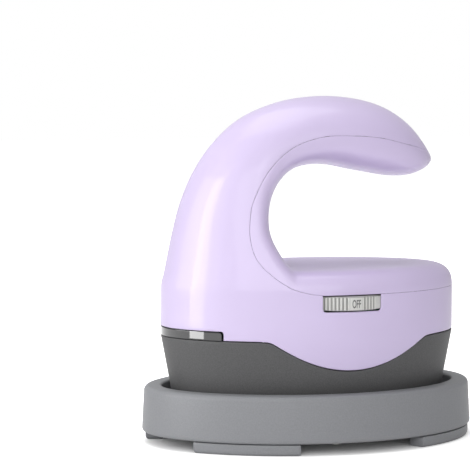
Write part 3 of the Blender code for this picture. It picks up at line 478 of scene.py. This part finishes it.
def pressForm():
    bm = bmesh.new()
    top = press["seam"]
    rows = [ring(*flare(press["skirtBottom"]), 0, press["skirtBottom"])]
    for i in range(1, deck["wallSteps"] + 1):
        z = press["skirtBottom"] + (press["skirtLine"] - press["skirtBottom"]) * i / deck["wallSteps"]
        rows.append(ring(*flare(z), 0, z))
    for i in range(deck["rollSteps"] + 1):
        angle = pi / 2 * i / deck["rollSteps"]
        inward = 1 - max(0.0, cos(angle)) ** deck["rollFullness"]
        rows.append(ring(press["halfLength"], press["halfWidth"], deck["rollWidth"] * inward,
                         top + deck["rollHeight"] * sin(angle) ** deck["rollFullness"]))
    ovalRings(bm, rows)
    shares = handle["sectionShares"]
    curves = []
    for column in range(6):
        knots = [(i * press["halfLength"], row[column], 0) for i, row in enumerate(shares)]
        curves.append([point.y for point in smoothThrough(knots, handle["spanSteps"])])
    sections = list(zip(*curves))
    around = 2 * handle["halfSteps"]
    verts = skin(bm, around, len(sections) - 1, lambda i, j: handleRing(sections[j], i % around))
    capEnds(bm, verts)
    bmesh.ops.recalc_face_normals(bm, faces=bm.faces)
    form = looseMesh(bm, "pressForm")
    modify(form, "REMESH", mode="VOXEL", voxel_size=remesh["voxel"])
    modify(form, "SMOOTH", factor=remesh["strength"], iterations=remesh["smoothing"])
    settle(form)
    return form


def meshArrays(bm):
    bm.verts.index_update()
    return np.array([vert.co for vert in bm.verts])


# share of an edge within which its end moves onto a line
snap = {"cut": 0.12, "lip": 0.05}


def cutAlong(bm, field, snapShare):
    # splits the triangles along the line where the field is zero
    onLine = bm.verts.layers.int.new("onLine")
    values = field(meshArrays(bm))
    ends = np.array([(edge.verts[0].index, edge.verts[1].index) for edge in bm.edges])
    crossing = np.nonzero(values[ends[:, 0]] * values[ends[:, 1]] < 0)[0]
    bm.edges.ensure_lookup_table()
    shares = {}
    for index in crossing:  # a vertex beside the line moves onto it
        a, b = bm.edges[index].verts
        share = values[a.index] / (values[a.index] - values[b.index])
        if a[onLine] or b[onLine] or snapShare < share < 1 - snapShare:
            continue
        near = a if share < snapShare else b
        near.co = a.co.lerp(b.co, share)
        near[onLine] = 1
    for index in crossing:  # and the other edges are split where it crosses
        a, b = bm.edges[index].verts
        if not a[onLine] and not b[onLine]:
            shares[bm.edges[index]] = values[a.index] / (values[a.index] - values[b.index])
    made = bmesh.ops.bisect_edges(bm, edges=list(shares), cuts=1, edge_percents=shares)
    for item in made["geom_split"]:
        if isinstance(item, bmesh.types.BMVert):
            item[onLine] = 1
    bmesh.ops.connect_verts(bm, verts=[vert for vert in bm.verts if vert[onLine]])
    bmesh.ops.triangulate(bm, faces=[face for face in bm.faces if len(face.verts) > 3])
    bm.verts.layers.int.remove(onLine)


def keepWhere(bm, field):  # cuts, then deletes what lies below zero
    cutAlong(bm, field, snap["cut"])
    centres = np.array([face.calc_center_median() for face in bm.faces])
    outside = field(centres) < 0
    lost = [face for face, gone in zip(bm.faces, outside) if gone]
    bmesh.ops.delete(bm, geom=lost, context="FACES")


# Lines of the press's openings, as heights over its surface that are zero on the line

def boxLine(points, low, high, radius):  # distance to a rounded box in side view
    centre = (np.array(low) + np.array(high)) / 2
    half = (np.array(high) - np.array(low)) / 2 - radius
    away = np.abs(points - centre) - half
    return np.linalg.norm(np.maximum(away, 0), axis=1) + np.minimum(away.max(axis=1), 0) - radius


def dipLine(co):
    return co[:, 2] - dipHeight(co[:, 0]) - gap / 2


seamKnots = [(x * press["halfLength"], press["seam"] + z * press["handleRise"], 0)
             for x, z in handle["seamShares"]]
seamCurve = np.array([tuple(point.xy) for point in smoothThrough(seamKnots, handle["spanSteps"])])
seamEnd = 80 * mm  # past the heel
seamCurve = np.vstack([(seamEnd, seamCurve[0, 1]), seamCurve, (seamEnd, press["seam"])])


def seamLine(co):  # positive on the shell's side of the seam
    points = co[:, [0, 2]]
    nearest = np.full(len(points), np.inf)
    inside = np.zeros(len(points), bool)
    for start, end in zip(seamCurve, seamCurve[1:]):
        run = end - start
        share = np.clip(((points - start) @ run) / (run @ run), 0, 1)
        nearest = np.minimum(nearest, np.linalg.norm(points - start - share[:, None] * run, axis=1))
        spans = (start[1] > points[:, 1]) != (end[1] > points[:, 1])
        rise = run[1] if run[1] else 1e-12  # a level run spans no point
        inside ^= spans & (points[:, 0] > start[0] + (points[:, 1] - start[1]) * run[0] / rise)
    return np.where(inside, -nearest, nearest)


slot = {"shift": 0.5 * mm, "halfWidth": 11.4 * mm, "room": 0.5 * mm, "overlap": 4 * mm, "round": 1.2 * mm}


def slotLine(co):
    middle = dialCentre.x + slot["shift"]
    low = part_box("dial_wheel")[0].z - slot["room"]
    line = boxLine(co[:, [0, 2]], (middle - slot["halfWidth"], low),
                   (middle + slot["halfWidth"], press["seam"] + slot["overlap"]), slot["round"])
    return np.where(co[:, 1] < 0, line, 1.0)


window = {"angle": radians(45.15), "height": 3.5 * mm, "thickness": 1.6 * mm, "round": 1.1 * mm,
          "soften": 0.15 * mm, "softenSteps": 2, "columns": 160, "rows": 8,
          "past": (60 * mm, 20 * mm),  # how far its cut reaches round the nose and down
          "arc": 47.5 * mm,  # outline's length per radian near the ends
          "slant": 0.85}  # how fast X runs along the outline there


def windowLine(co):
    end = -press["halfLength"] * cos(window["angle"])
    points = np.stack([(co[:, 0] - end) / window["slant"], co[:, 2]], -1)
    return boxLine(points, (-window["past"][0], press["skirtLine"] - window["past"][1]),
                   (gap, press["skirtLine"] + window["height"]), window["round"])


inlet = {"z": middleOf("cord_inlet").z, "hole": 4.7 * mm}


def inletLine(co):
    line = np.hypot(co[:, 1], co[:, 2] - inlet["z"]) - inlet["hole"]
    return np.where(co[:, 0] > 0, line, 1.0)


lip = {"steps": 2, "seam": 0.12 * mm, "edge": 0.35 * mm}
seamGap = 0.06 * mm  # as narrow as a well fitted cover shows it


def softenLips(bm, lines):  # rolls the sheet's edges inwards
    for line, radius in lines:
        for i in range(1, lip["steps"] + 1):
            level = radius * (1 - cos(pi / 2 * i / lip["steps"]))
            cutAlong(bm, lambda co: line(co) - level, snap["lip"])
    bm.normal_update()
    co = meshArrays(bm)
    drop = np.zeros(len(co))
    for line, radius in lines:
        rest = np.clip(radius - np.maximum(0, line(co)), 0, radius)
        drop = np.maximum(drop, radius - np.sqrt(radius ** 2 - rest ** 2))
    moved = [(vert, vert.normal * depth) for vert, depth in zip(bm.verts, drop) if depth > 0]
    for vert, step in moved:
        vert.co -= step


def sheetFrom(form, name, lines, node):
    # the part of the form where every line is positive, as a moulded wall with soft edges
    bm = bmesh.new()
    bm.from_mesh(form.data)
    bmesh.ops.triangulate(bm, faces=bm.faces)
    for line, radius in lines:
        keepWhere(bm, line)
    softenLips(bm, lines)
    piece = addPiece(name, bm, "press", "lilac_plastic", (node,))
    # the inner faces and cut rims get the painted shade finish, which darkens the openings' edges as if
    # they were in shadow
    piece.data.materials.append(finishes["lilacPaintedShade"])
    modify(piece, "SOLIDIFY", thickness=press["wall"], offset=-1, material_offset=1,
           material_offset_rim=1)
    settle(piece)
    piece.data.set_sharp_from_angle(angle=radians(sharpAngle))
    return piece


form = pressForm()
print("press form ready", len(form.data.polygons))
shellLines = [(dipLine, lip["edge"]), (lambda co: seamLine(co) - seamGap / 2, lip["seam"]),
              (slotLine, lip["edge"]), (windowLine, lip["edge"]), (inletLine, lip["edge"])]
coverLines = [(lambda co: -seamLine(co) - seamGap / 2, lip["seam"])]
shell = sheetFrom(form, "moulded_shell", shellLines, "outer_shell")
cover = sheetFrom(form, "moulded_cover", coverLines, "inner_cover")
bpy.data.objects.remove(form, do_unlink=True)
print("shell and cover ready", len(shell.data.polygons), len(cover.data.polygons))


# Skirt

screwBite = 5.0 * mm  # how deep the screws sit in their posts
skirt = {"lip": 0.35 * mm, "footRound": 0.5 * mm, "rows": 14,
         "shelfZ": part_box("sole_screw_1")[0].z + screwBite, "shelfThickness": 2.2 * mm,
         "shelfDepth": 14.0 * mm, "postRadius": 2.5 * mm, "postRound": 0.3 * mm, "postSteps": 24}
quarter = (pi / 8, pi / 4, 3 * pi / 8, pi / 2)  # angles of a rounded edge


def skirtPiece():
    bottom = press["skirtBottom"]

    def wallRow(share, inset, drop):  # share runs from the foot to the dip line
        def row(angle):
            x = -press["halfLength"] * cos(angle)
            top = float(dipHeight(np.float64(x))) - gap / 2 - drop
            z = bottom + (top - bottom) * share
            halfLength, halfWidth = flare(z)
            return eggPoint(halfLength - inset, halfWidth - inset, angle, z)
        return row

    rows = []
    for angle in (0, *quarter):
        inset = skirt["footRound"] * (1 - sin(angle))
        rows.append(ring(*flare(bottom), inset, bottom + skirt["footRound"] * (1 - cos(angle))))
    first = 1 / skirt["rows"]
    for i in range(skirt["rows"] + 1):
        rows.append(wallRow(first + (1 - first) * i / skirt["rows"], 0, skirt["lip"]))
    for angle in quarter:
        rows.append(wallRow(1, skirt["lip"] * (1 - cos(angle)), skirt["lip"] * (1 - sin(angle))))
    wall = press["wall"]
    rows.append(wallRow(1, wall, 0))
    deep = wall + skirt["shelfDepth"]
    under = skirt["shelfZ"] - skirt["shelfThickness"]
    for inset, z in ((wall, skirt["shelfZ"]), (deep, skirt["shelfZ"]), (deep, under), (wall, under),
                     (wall, bottom)):
        rows.append(ring(*flare(z), inset, z))
    bm = bmesh.new()
    ovalRings(bm, rows, fineSteps, True)
    low, radius, corner = skirt["shelfZ"] - gap, skirt["postRadius"], skirt["postRound"]
    for node in screwNodes("board_screw", "shell_screw", "clamp_screw"):
        centre = middleOf(node)  # posts that the screws bite into
        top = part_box(node)[0].z + screwBite - gap
        profile = [(0, low), (radius, low), (radius, top - corner), (radius - corner, top), (0, top)]
        spun(bm, (centre.x, centre.y, 0), profile, skirt["postSteps"])
    addPiece("flared_skirt", bm, "press", "charcoal_plastic", ("skirt",))


skirtPiece()


# Status window

def windowPiece():
    low = press["skirtLine"] + gap / 2
    high = press["skirtLine"] + window["height"] - gap
    reach = window["angle"] - gap / press["halfWidth"]
    columns, rows = window["columns"], window["rows"]

    def place(i, j):
        angle = reach * sin(pi / 2 * (2 * i / columns - 1))
        left = (reach - abs(angle)) * window["arc"]
        top = high
        if left < window["round"]:
            top -= window["round"] - sqrt(window["round"] ** 2 - (window["round"] - left) ** 2)
        z = low + (top - low) * j / rows
        return eggPoint(press["halfLength"], press["halfWidth"], angle, z)

    bm = bmesh.new()
    skin(bm, columns, rows, place, False)
    piece = addPiece("smoked_window", bm, "press", "window_plastic", ("status_window",))
    modify(piece, "SOLIDIFY", thickness=window["thickness"], offset=-1)
    modify(piece, "BEVEL", width=window["soften"], segments=window["softenSteps"],
           limit_method="ANGLE")
    settle(piece)


windowPiece()


# Dial

dial = {"ribs": 80, "ribSteps": 8, "ribDepth": 0.5 * mm, "stops": (0, 35, 70, 105), "roundSteps": 6,
        "padAngle": radians(15.6), "padTurn": radians(3.4), "edgeRound": 0.9 * mm, "rimRound": 0.2 * mm,
        "bore": 3.3 * mm, "rim": 2.6 * mm, "dish": 0.5 * mm, "hub": 2.0 * mm, "sharpAngle": 40,
        "word": "OFF", "wordWidth": 3.3 * mm, "wordHeight": 3.1 * mm, "wordDepth": 0.03 * mm,
        "boldness": 0.022, "wordMerge": 0.0001}  # both in the font's own units


def dialRadius(angle):  # plain pads at the settings, ribs between them
    angle -= dial["padTurn"]
    for stop in dial["stops"]:
        turn = (angle - radians(stop) + pi) % (2 * pi) - pi
        if abs(turn) < dial["padAngle"] / 2:
            return wheelRadius
    wave = 0.5 - 0.5 * cos(angle * dial["ribs"])
    return wheelRadius - dial["ribDepth"] * wave


def dialPlace(angle, reach, z):
    return Vector((dialCentre.x + reach * sin(angle), dialCentre.y - reach * cos(angle), z))


def dialPiece():
    low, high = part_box("dial_wheel")[0].z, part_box("dial_wheel")[1].z
    steps = dial["ribs"] * dial["ribSteps"]
    edge, dish, bore = dial["edgeRound"], dial["dish"], dial["bore"]
    inner, hub = wheelRadius - dial["rim"], bore + dial["hub"]
    profile = roundCorners([(bore, low, 0), (wheelRadius, low, edge), (wheelRadius, high, edge),
                            (inner, high, dial["rimRound"]), (inner - dish, high - dish, 0),
                            (hub, high - dish, 0), (hub - dish, high, 0), (bore, high, 0)],
                           dial["roundSteps"])

    def place(i, j):
        angle = 2 * pi * (i % steps) / steps
        reach, z = profile[j % len(profile)]
        return dialPlace(angle, min(reach, dialRadius(angle)), z)

    bm = bmesh.new()
    skin(bm, steps, len(profile), place, True, True)
    addPiece("ribbed_dial", bm, "dial", "silver_plastic", ("dial_wheel",), dial["sharpAngle"])


def offWord():  # printed on the pad of the first setting
    text = bpy.data.curves.new("offWord", "FONT")
    text.body = dial["word"]
    text.extrude = 1.0
    text.offset = dial["boldness"]
    maker = bpy.data.objects.new("offWord", text)
    bpy.context.scene.collection.objects.link(maker)
    settled = bpy.data.objects.new("offWord", meshOf(maker))
    bm = bmesh.new()
    bm.from_mesh(settled.data)
    bpy.data.objects.remove(maker, do_unlink=True)
    bpy.data.objects.remove(settled, do_unlink=True)
    bmesh.ops.remove_doubles(bm, verts=bm.verts, dist=dial["wordMerge"])
    co = meshArrays(bm)
    low, high = co.min(axis=0), co.max(axis=0)
    middle = (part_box("dial_wheel")[0].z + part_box("dial_wheel")[1].z) / 2
    for vert in bm.verts:
        across = (vert.co.x - (low[0] + high[0]) / 2) / (high[0] - low[0]) * dial["wordWidth"]
        up = (vert.co.y - (low[1] + high[1]) / 2) / (high[1] - low[1]) * dial["wordHeight"]
        reach = wheelRadius + dial["wordDepth"] * vert.co.z
        vert.co = dialPlace(dial["padTurn"] + across / wheelRadius, reach, middle + up)
    piece = addPiece("off_word", bm, "dial", "black_plastic")
    piece.data.materials[0] = finishes["dialInk"]


dialPiece()
offWord()


# Stand

stand = {"halfLength": 64.2 * mm, "halfWidth": 42.8 * mm, "rimWidth": 6.7 * mm, "wall": 2.4 * mm,
         "draft": 0.9 * mm, "shoulder": 1.9 * mm, "lip": 1.0 * mm, "footRound": 1.3 * mm,
         "lowRound": 0.3 * mm, "hollowRound": 0.8 * mm, "floorRound": 1.2 * mm,
         "floorZ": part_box("stand_mat")[0].z - gap, "floorLowZ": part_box("stand_base")[1].z + gap,
         "bossRadius": 2.3 * mm, "bossHeight": 3.5 * mm, "bossRound": 0.4 * mm, "bossSteps": 32,
         "roundSteps": 8, "bossRoundSteps": 4}
middleInset = 20 * mm  # where flat faces are closed, well inside the edge


def tubPiece():
    low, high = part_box("stand_tub")[0].z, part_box("stand_tub")[1].z
    inner = stand["rimWidth"] - stand["wall"]
    top = high - stand["wall"]
    outline = roundCorners([
        (middleInset, stand["floorLowZ"], 0), (inner, stand["floorLowZ"], stand["lowRound"]),
        (inner, top, stand["hollowRound"]), (stand["wall"], top, stand["hollowRound"]),
        (stand["wall"], low, stand["lowRound"]), (0, low, stand["footRound"]),
        (0, high, stand["shoulder"]), (stand["rimWidth"], high, stand["lip"]),
        (stand["rimWidth"], stand["floorZ"], stand["floorRound"]),
        (middleInset, stand["floorZ"], 0)], stand["roundSteps"])
    leaned = [(inset + stand["draft"] * (z - low) / (high - low), z) for inset, z in outline]
    bm = bmesh.new()
    ovalRings(bm, rings(stand["halfLength"], stand["halfWidth"], leaned), fineSteps)
    foot, top = stand["floorZ"] - gap, stand["floorZ"] + stand["bossHeight"]
    radius = stand["bossRadius"]
    profile = roundCorners([(0, foot, 0), (radius, foot, 0), (radius, top, stand["bossRound"]),
                            (0, top, 0)], stand["bossRoundSteps"])
    for node in screwNodes("stand_screw"):  # bosses over the screws
        place = middleOf(node)
        spun(bm, (place.x, place.y, 0), profile, stand["bossSteps"])
    addPiece("oval_tub", bm, "stand", "stand_plastic", ("stand_tub",))


base = {"edge": 2.7 * mm, "edgeRound": 0.25 * mm, "thickness": 1.2 * mm, "footInset": 0.8 * mm,
        "footDepth": 6.7 * mm, "footRound": 1.3 * mm, "footTopRound": 0.3 * mm, "footBackRound": 0.8 * mm,
        "endRound": 0.5 * mm, "endSegments": 3, "footSteps": 28, "land": 2.2 * mm,
        "landRise": 1.0 * mm, "landRound": 0.1 * mm, "landBackRound": 0.2 * mm,
        "roundSteps": 3, "footRoundSteps": 6,
        "nearFeet": ((36, 76), (122, 165))}  # degrees round the plan; the far ones lie opposite


def basePiece():
    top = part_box("stand_base")[1].z
    low = top - base["thickness"]
    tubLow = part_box("stand_tub")[0].z
    half = (stand["halfLength"], stand["halfWidth"])
    bm = bmesh.new()
    outline = roundCorners([(middleInset, low, 0), (base["edge"], low, base["edgeRound"]),
                            (base["edge"], top, base["edgeRound"]), (middleInset, top, 0)],
                           base["roundSteps"])
    ovalRings(bm, rings(*half, outline), fineSteps)
    near, far = base["footInset"], base["footInset"] + base["footDepth"]
    height = tubLow - gap
    land, landTop = near + base["land"], height + base["landRise"]
    section = roundCorners([(near, 0, base["footRound"]), (near, height, base["footTopRound"]),
                            (land, height, base["landRound"]), (land, landTop, base["landRound"]),
                            (far, landTop, base["landBackRound"]), (far, 0, base["footBackRound"])],
                           base["footRoundSteps"])
    columns, rows = len(section), base["footSteps"]
    for start, end in base["nearFeet"]:
        for turn in (0, 180):
            def place(i, j):
                inset, z = section[i % columns]
                angle = radians(start + turn + (end - start) * j / rows)
                return eggPoint(half[0] - inset, half[1] - inset, angle, z)
            caps = capEnds(bm, skin(bm, columns, rows, place))
            rim = {edge for face in caps for edge in face.edges}
            bmesh.ops.bevel(bm, geom=list(rim), offset=base["endRound"], segments=base["endSegments"],
                            profile=0.5, affect="EDGES", material=-1)
    addPiece("footed_base", bm, "stand", "stand_plastic", ("stand_base",))


mat = {"round": 0.3 * mm, "grooveInsets": (4.0 * mm, 8.5 * mm, 13.0 * mm), "grooveWidth": 1.2 * mm,
       "grooveDepth": 0.4 * mm, "grooveRound": 0.1 * mm, "endInset": 7.3 * mm, "sideInset": 6.5 * mm,
       "roundSteps": 2}
soleHalf = (press["halfLength"] - press["endTaper"] - gap, press["halfWidth"] - press["sideTaper"] - gap)


def matPiece():
    low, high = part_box("stand_mat")[0].z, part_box("stand_mat")[1].z
    corners = [(middleInset, low, 0), (0, low, mat["round"]), (0, high, mat["round"])]
    soft = mat["grooveRound"]
    deep = high - mat["grooveDepth"]
    for inset in mat["grooveInsets"]:
        far = inset + mat["grooveWidth"]
        corners += [(inset, high, soft), (inset, deep, soft), (far, deep, soft), (far, high, soft)]
    corners.append((middleInset, high, 0))
    bm = bmesh.new()
    half = (soleHalf[0] - mat["endInset"], soleHalf[1] - mat["sideInset"])
    ovalRings(bm, rings(*half, roundCorners(corners, mat["roundSteps"])))
    addPiece("grooved_mat", bm, "stand", "silicone", ("stand_mat",))


tubPiece()
basePiece()
matPiece()
print("skirt, window, dial and stand ready")


# Soleplate and the element in its groove

sole = {"edgeRound": 0.6 * mm, "rimHeight": 2.6 * mm, "rimRound": 0.1 * mm, "stepHeight": 3.1 * mm,
        "step": 2.5 * mm, "stepRound": 0.3 * mm, "postRadius": 2.5 * mm, "postSteps": 32,
        "roundSteps": 5}
element = {"tubeRadius": 3.0 * mm, "tubeSteps": 8, "bendSteps": 24, "pinRadius": 1.2 * mm,
           "pinRound": 0.2 * mm, "pinRoundSteps": 3, "pinLength": 6.0 * mm, "pinSteps": 24}


def tubeAlong(name, points, radius):  # a round tube as a mesh object
    curve = bpy.data.curves.new(name, "CURVE")
    curve.dimensions = "3D"
    curve.bevel_depth = radius
    curve.bevel_resolution = element["tubeSteps"]
    curve.use_fill_caps = True
    spline = curve.splines.new("POLY")
    spline.points.add(len(points) - 1)
    for knot, point in zip(spline.points, points):
        knot.co = (*point, 1)
    maker = bpy.data.objects.new(name, curve)
    bpy.context.scene.collection.objects.link(maker)
    bm = bmesh.new()
    bm.from_mesh(meshOf(maker))
    bpy.data.objects.remove(maker, do_unlink=True)
    bmesh.ops.remove_doubles(bm, verts=bm.verts, dist=merge)
    bmesh.ops.recalc_face_normals(bm, faces=bm.faces)
    return bm


def elementRoute(endX):  # two straight legs and a half turn at the nose
    low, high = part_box("heater_element")
    leg = high.y - element["tubeRadius"]
    bend = low.x + element["tubeRadius"] + leg
    z = (low.z + high.z) / 2
    turn = []
    for i in range(element["bendSteps"] + 1):
        angle = pi * i / element["bendSteps"]
        turn.append(Vector((bend - leg * sin(angle), -leg * cos(angle), z)))
    return [Vector((endX, -leg, z)), *turn, Vector((endX, leg, z))]


def solePiece():
    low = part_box("soleplate")[0].z
    rim = low + sole["rimHeight"]
    top = rim + sole["stepHeight"]
    outline = roundCorners([(middleInset, low, 0), (0, low, sole["edgeRound"]), (0, rim, sole["rimRound"]),
                            (sole["step"], rim, sole["rimRound"]), (sole["step"], top, sole["stepRound"]),
                            (middleInset, top, 0)], sole["roundSteps"])
    bm = bmesh.new()
    ovalRings(bm, rings(*soleHalf, outline), fineSteps)
    foot, high = top - gap, skirt["shelfZ"] - skirt["shelfThickness"] - gap
    profile = [(0, foot), (sole["postRadius"], foot), (sole["postRadius"], high), (0, high)]
    for node in screwNodes("sole_screw"):  # posts up to the skirt's shelf
        centre = middleOf(node)
        spun(bm, (centre.x, centre.y, 0), profile, sole["postSteps"])
    plate = addPiece("coated_soleplate", bm, "press", "coated_aluminium", ("soleplate",))
    groove = tubeAlong("groove", elementRoute(soleHalf[0]), element["tubeRadius"] + gap)
    carve(plate, looseMesh(groove, "groove"))


def elementPiece():
    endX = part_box("heater_element")[1].x - element["pinLength"]
    bm = tubeAlong("element", elementRoute(endX), element["tubeRadius"])
    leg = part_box("heater_element")[1].y - element["tubeRadius"]
    radius, reach = element["pinRadius"], element["pinLength"]
    profile = roundCorners([(0, -gap, 0), (radius, -gap, 0), (radius, reach, element["pinRound"]),
                            (0, reach, 0)], element["pinRoundSteps"])
    for side in (-1, 1):
        spun(bm, (endX, side * leg, middleOf("heater_element").z), profile, element["pinSteps"], "X")
    addPiece("sheathed_element", bm, "press", "screw_steel", ("heater_element",))


solePiece()
elementPiece()


# Cord inlet bush and the screws

bush = {"bore": 3.1 * mm, "neck": 4.4 * mm, "flange": 5.9 * mm, "flangeThickness": 1.6 * mm,
        "flangeSet": 3.5 * mm, "tail": 2.4 * mm, "mouthRound": 0.5 * mm, "faceRound": 0.35 * mm,
        "outerRound": 0.3 * mm, "innerRound": 0.1 * mm, "backRound": 0.2 * mm, "roundSteps": 4,
        "steps": 64}


def bushPiece():
    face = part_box("cord_inlet")[1].x
    front = face - bush["flangeSet"]
    back = front - bush["flangeThickness"]
    end = back - bush["tail"]
    bore, neck, flange = bush["bore"], bush["neck"], bush["flange"]
    outer, inner = bush["outerRound"], bush["innerRound"]
    profile = roundCorners([(bore, face, bush["mouthRound"]), (neck, face, bush["faceRound"]),
                            (neck, front, inner), (flange, front, outer), (flange, back, outer),
                            (neck, back, inner), (neck, end, outer), (bore, end, bush["backRound"])],
                           bush["roundSteps"])
    bm = bmesh.new()
    spun(bm, (0, 0, inlet["z"]), profile, bush["steps"], "X", True)
    addPiece("inlet_bush", bm, "press", "charcoal_plastic", ("cord_inlet",))


screw = {"shank": 1.0 * mm, "head": 2.1 * mm, "headHeight": 1.5 * mm, "headRound": 0.7 * mm,
         "seatRound": 0.15 * mm, "tip": 0.4 * mm, "slotWidth": 0.45 * mm, "slotReach": 1.15 * mm,
         "slotDepth": 0.8 * mm, "roundSteps": 4, "steps": 32}


def screwPiece(node, body, up=1):  # a pan head with a cross in it
    low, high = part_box(node)
    centre = (low + high) / 2
    reach = high.z - low.z - screw["headHeight"]
    seat = low.z + reach if up == 1 else high.z - reach
    head, height = screw["head"], screw["headHeight"]
    shank = screw["shank"]
    profile = roundCorners([(0, -reach, 0), (shank, -reach, screw["tip"]), (shank, 0, 0),
                            (head, 0, screw["seatRound"]), (head, height, screw["headRound"]),
                            (0, height, 0)], screw["roundSteps"])
    bm = bmesh.new()
    spun(bm, (0, 0, 0), profile, screw["steps"])
    bmesh.ops.recalc_face_normals(bm, faces=bm.faces)
    piece = addPiece("cross_" + node, bm, body, "screw_steel", (node,))
    cutter = bmesh.new()
    arm, width = 2 * screw["slotReach"], screw["slotWidth"]
    for across, along in ((arm, width), (width, arm)):
        size = (across, along, 2 * screw["slotDepth"], 1)
        place = Matrix.Translation((0, 0, height)) @ Matrix.Diagonal(size)
        bmesh.ops.create_cube(cutter, size=1, matrix=place)
    carve(piece, looseMesh(cutter, "cross"), True)
    turn = Matrix.Identity(4) if up == 1 else Matrix.Rotation(pi, 4, "X")
    piece.data.transform(Matrix.Translation((centre.x, centre.y, seat)) @ turn)


bushPiece()
for node in screwNodes("stand_screw"):
    screwPiece(node, "stand", -1)
for node in screwNodes("sole_screw", "shell_screw", "board_screw", "clamp_screw"):
    screwPiece(node, "press")
print("soleplate, element, bush and screws ready")


# Floor, world, lights and camera

studio = {"floorHalf": 3.0, "floorColor": (0.9, 0.9, 0.9), "floorRoughness": 0.9,
          "shadowReach": 30 * mm, "ambient": 0.15, "aimHeight": 0.06,
          "mirrored": 0.7}  # how white the surroundings look in a gloss
lamps = {
    "sideLamp": {"place": (-0.93, 0.0, 0.34), "size": (0.6, 0.6), "power": 3.6},
    "frontLamp": {"place": (-0.40, -0.90, 0.42), "size": (0.6, 0.5), "power": 3.0},
    "fillLamp": {"place": (0.05, -1.0, 0.42), "size": (0.6, 0.5), "power": 1.9},
    "topLamp": {"place": (-0.1, 0.1, 0.95), "size": (0.7, 0.7), "power": 4.2},
    "backLamp": {"place": (-0.4, 0.85, 0.4), "size": (0.6, 0.5), "power": 1.2, "mirrored": False},
    # seen only in the gloss, as the bright stripe down the nose
    "stripLamp": {"place": (-0.292, -0.089, 0.14), "size": (0.078, 0.28), "power": 0.44,
                  "aimHeight": 0.14, "lighting": False},
}


def seenShare(tree):  # how much of the white is seen, by kind of ray
    path = tree.nodes.new("ShaderNodeLightPath")
    total = calc(tree, "ShaderNodeMath", "MULTIPLY", path.outputs["Is Glossy Ray"], studio["mirrored"])
    for name in ("Is Camera Ray", "Is Transmission Ray"):
        total = calc(tree, "ShaderNodeMath", "MAXIMUM", total.outputs[0], path.outputs[name])
    return total.outputs[0]


def whiteFloor():
    bm = bmesh.new()
    bmesh.ops.create_grid(bm, x_segments=1, y_segments=1, size=studio["floorHalf"])
    floor = looseMesh(bm, "floor")
    material, tree, shader = newFinish("paleFloor", studio["floorColor"], studio["floorRoughness"])
    shader.inputs["Specular IOR Level"].default_value = 0.0
    shade = tree.nodes.new("ShaderNodeAmbientOcclusion")  # darkens the glow round what stands there
    shade.inputs["Distance"].default_value = studio["shadowReach"]
    seen = calc(tree, "ShaderNodeMath", "MULTIPLY", shade.outputs["AO"], seenShare(tree))
    glow = tree.nodes.new("ShaderNodeEmission")
    tree.links.new(seen.outputs[0], glow.inputs["Strength"])
    both = tree.nodes.new("ShaderNodeAddShader")
    tree.links.new(shader.outputs[0], both.inputs[0])
    tree.links.new(glow.outputs[0], both.inputs[1])
    tree.links.new(both.outputs[0], tree.nodes["Material Output"].inputs["Surface"])
    floor.data.materials.append(material)


def whiteWorld():
    world = bpy.data.worlds.new("studio")
    world.use_nodes = True
    tree = world.node_tree
    tree.nodes["Background"].inputs["Color"].default_value = (1, 1, 1, 1)
    level = tree.nodes.new("ShaderNodeMapRange")
    level.inputs["To Min"].default_value = studio["ambient"]
    tree.links.new(seenShare(tree), level.inputs["Value"])
    tree.links.new(level.outputs["Result"], tree.nodes["Background"].inputs["Strength"])
    bpy.context.scene.world = world


def softLamp(name, place, size, power, aimHeight=studio["aimHeight"], lighting=True, mirrored=True):
    lamp = bpy.data.lights.new(name, "AREA")
    lamp.shape = "RECTANGLE"
    lamp.size, lamp.size_y = size
    lamp.energy = power
    thing = bpy.data.objects.new(name, lamp)
    thing.location = place
    thing.rotation_euler = (Vector((0, 0, aimHeight)) - Vector(place)).to_track_quat("-Z", "Y").to_euler()
    thing.visible_camera = False
    thing.visible_diffuse = lighting
    thing.visible_glossy = mirrored
    bpy.context.scene.collection.objects.link(thing)


camera = {
    "place": (-0.2459, -0.7613, 0.1421), "focalPixels": 2118.4, "imagePixels": 470,
    "target": (0.0, 0.0, 0.0591), "targetPixel": (308.0, 281.4), "sensor": 36.0,
}


def photoCamera():
    lens = bpy.data.cameras.new("camera")
    lens.sensor_width = camera["sensor"]
    lens.lens = camera["focalPixels"] / camera["imagePixels"] * camera["sensor"]
    thing = bpy.data.objects.new("camera", lens)
    place, target = Vector(camera["place"]), Vector(camera["target"])
    ahead = (target - place).normalized()
    right = ahead.cross(Vector((0, 0, 1))).normalized()
    up = right.cross(ahead)
    scale = (target - place).length / camera["focalPixels"]
    middle = camera["imagePixels"] / 2
    aim = (target - right * (camera["targetPixel"][0] - middle) * scale
           + up * (camera["targetPixel"][1] - middle) * scale)
    thing.location = place
    thing.rotation_euler = (aim - place).to_track_quat("-Z", "Y").to_euler()
    bpy.context.scene.collection.objects.link(thing)
    bpy.context.scene.camera = thing


whiteFloor()
whiteWorld()
for name, settings in lamps.items():
    softLamp(name, **settings)
photoCamera()
bpy.context.scene.view_settings.view_transform = "Standard"
print("studio ready")
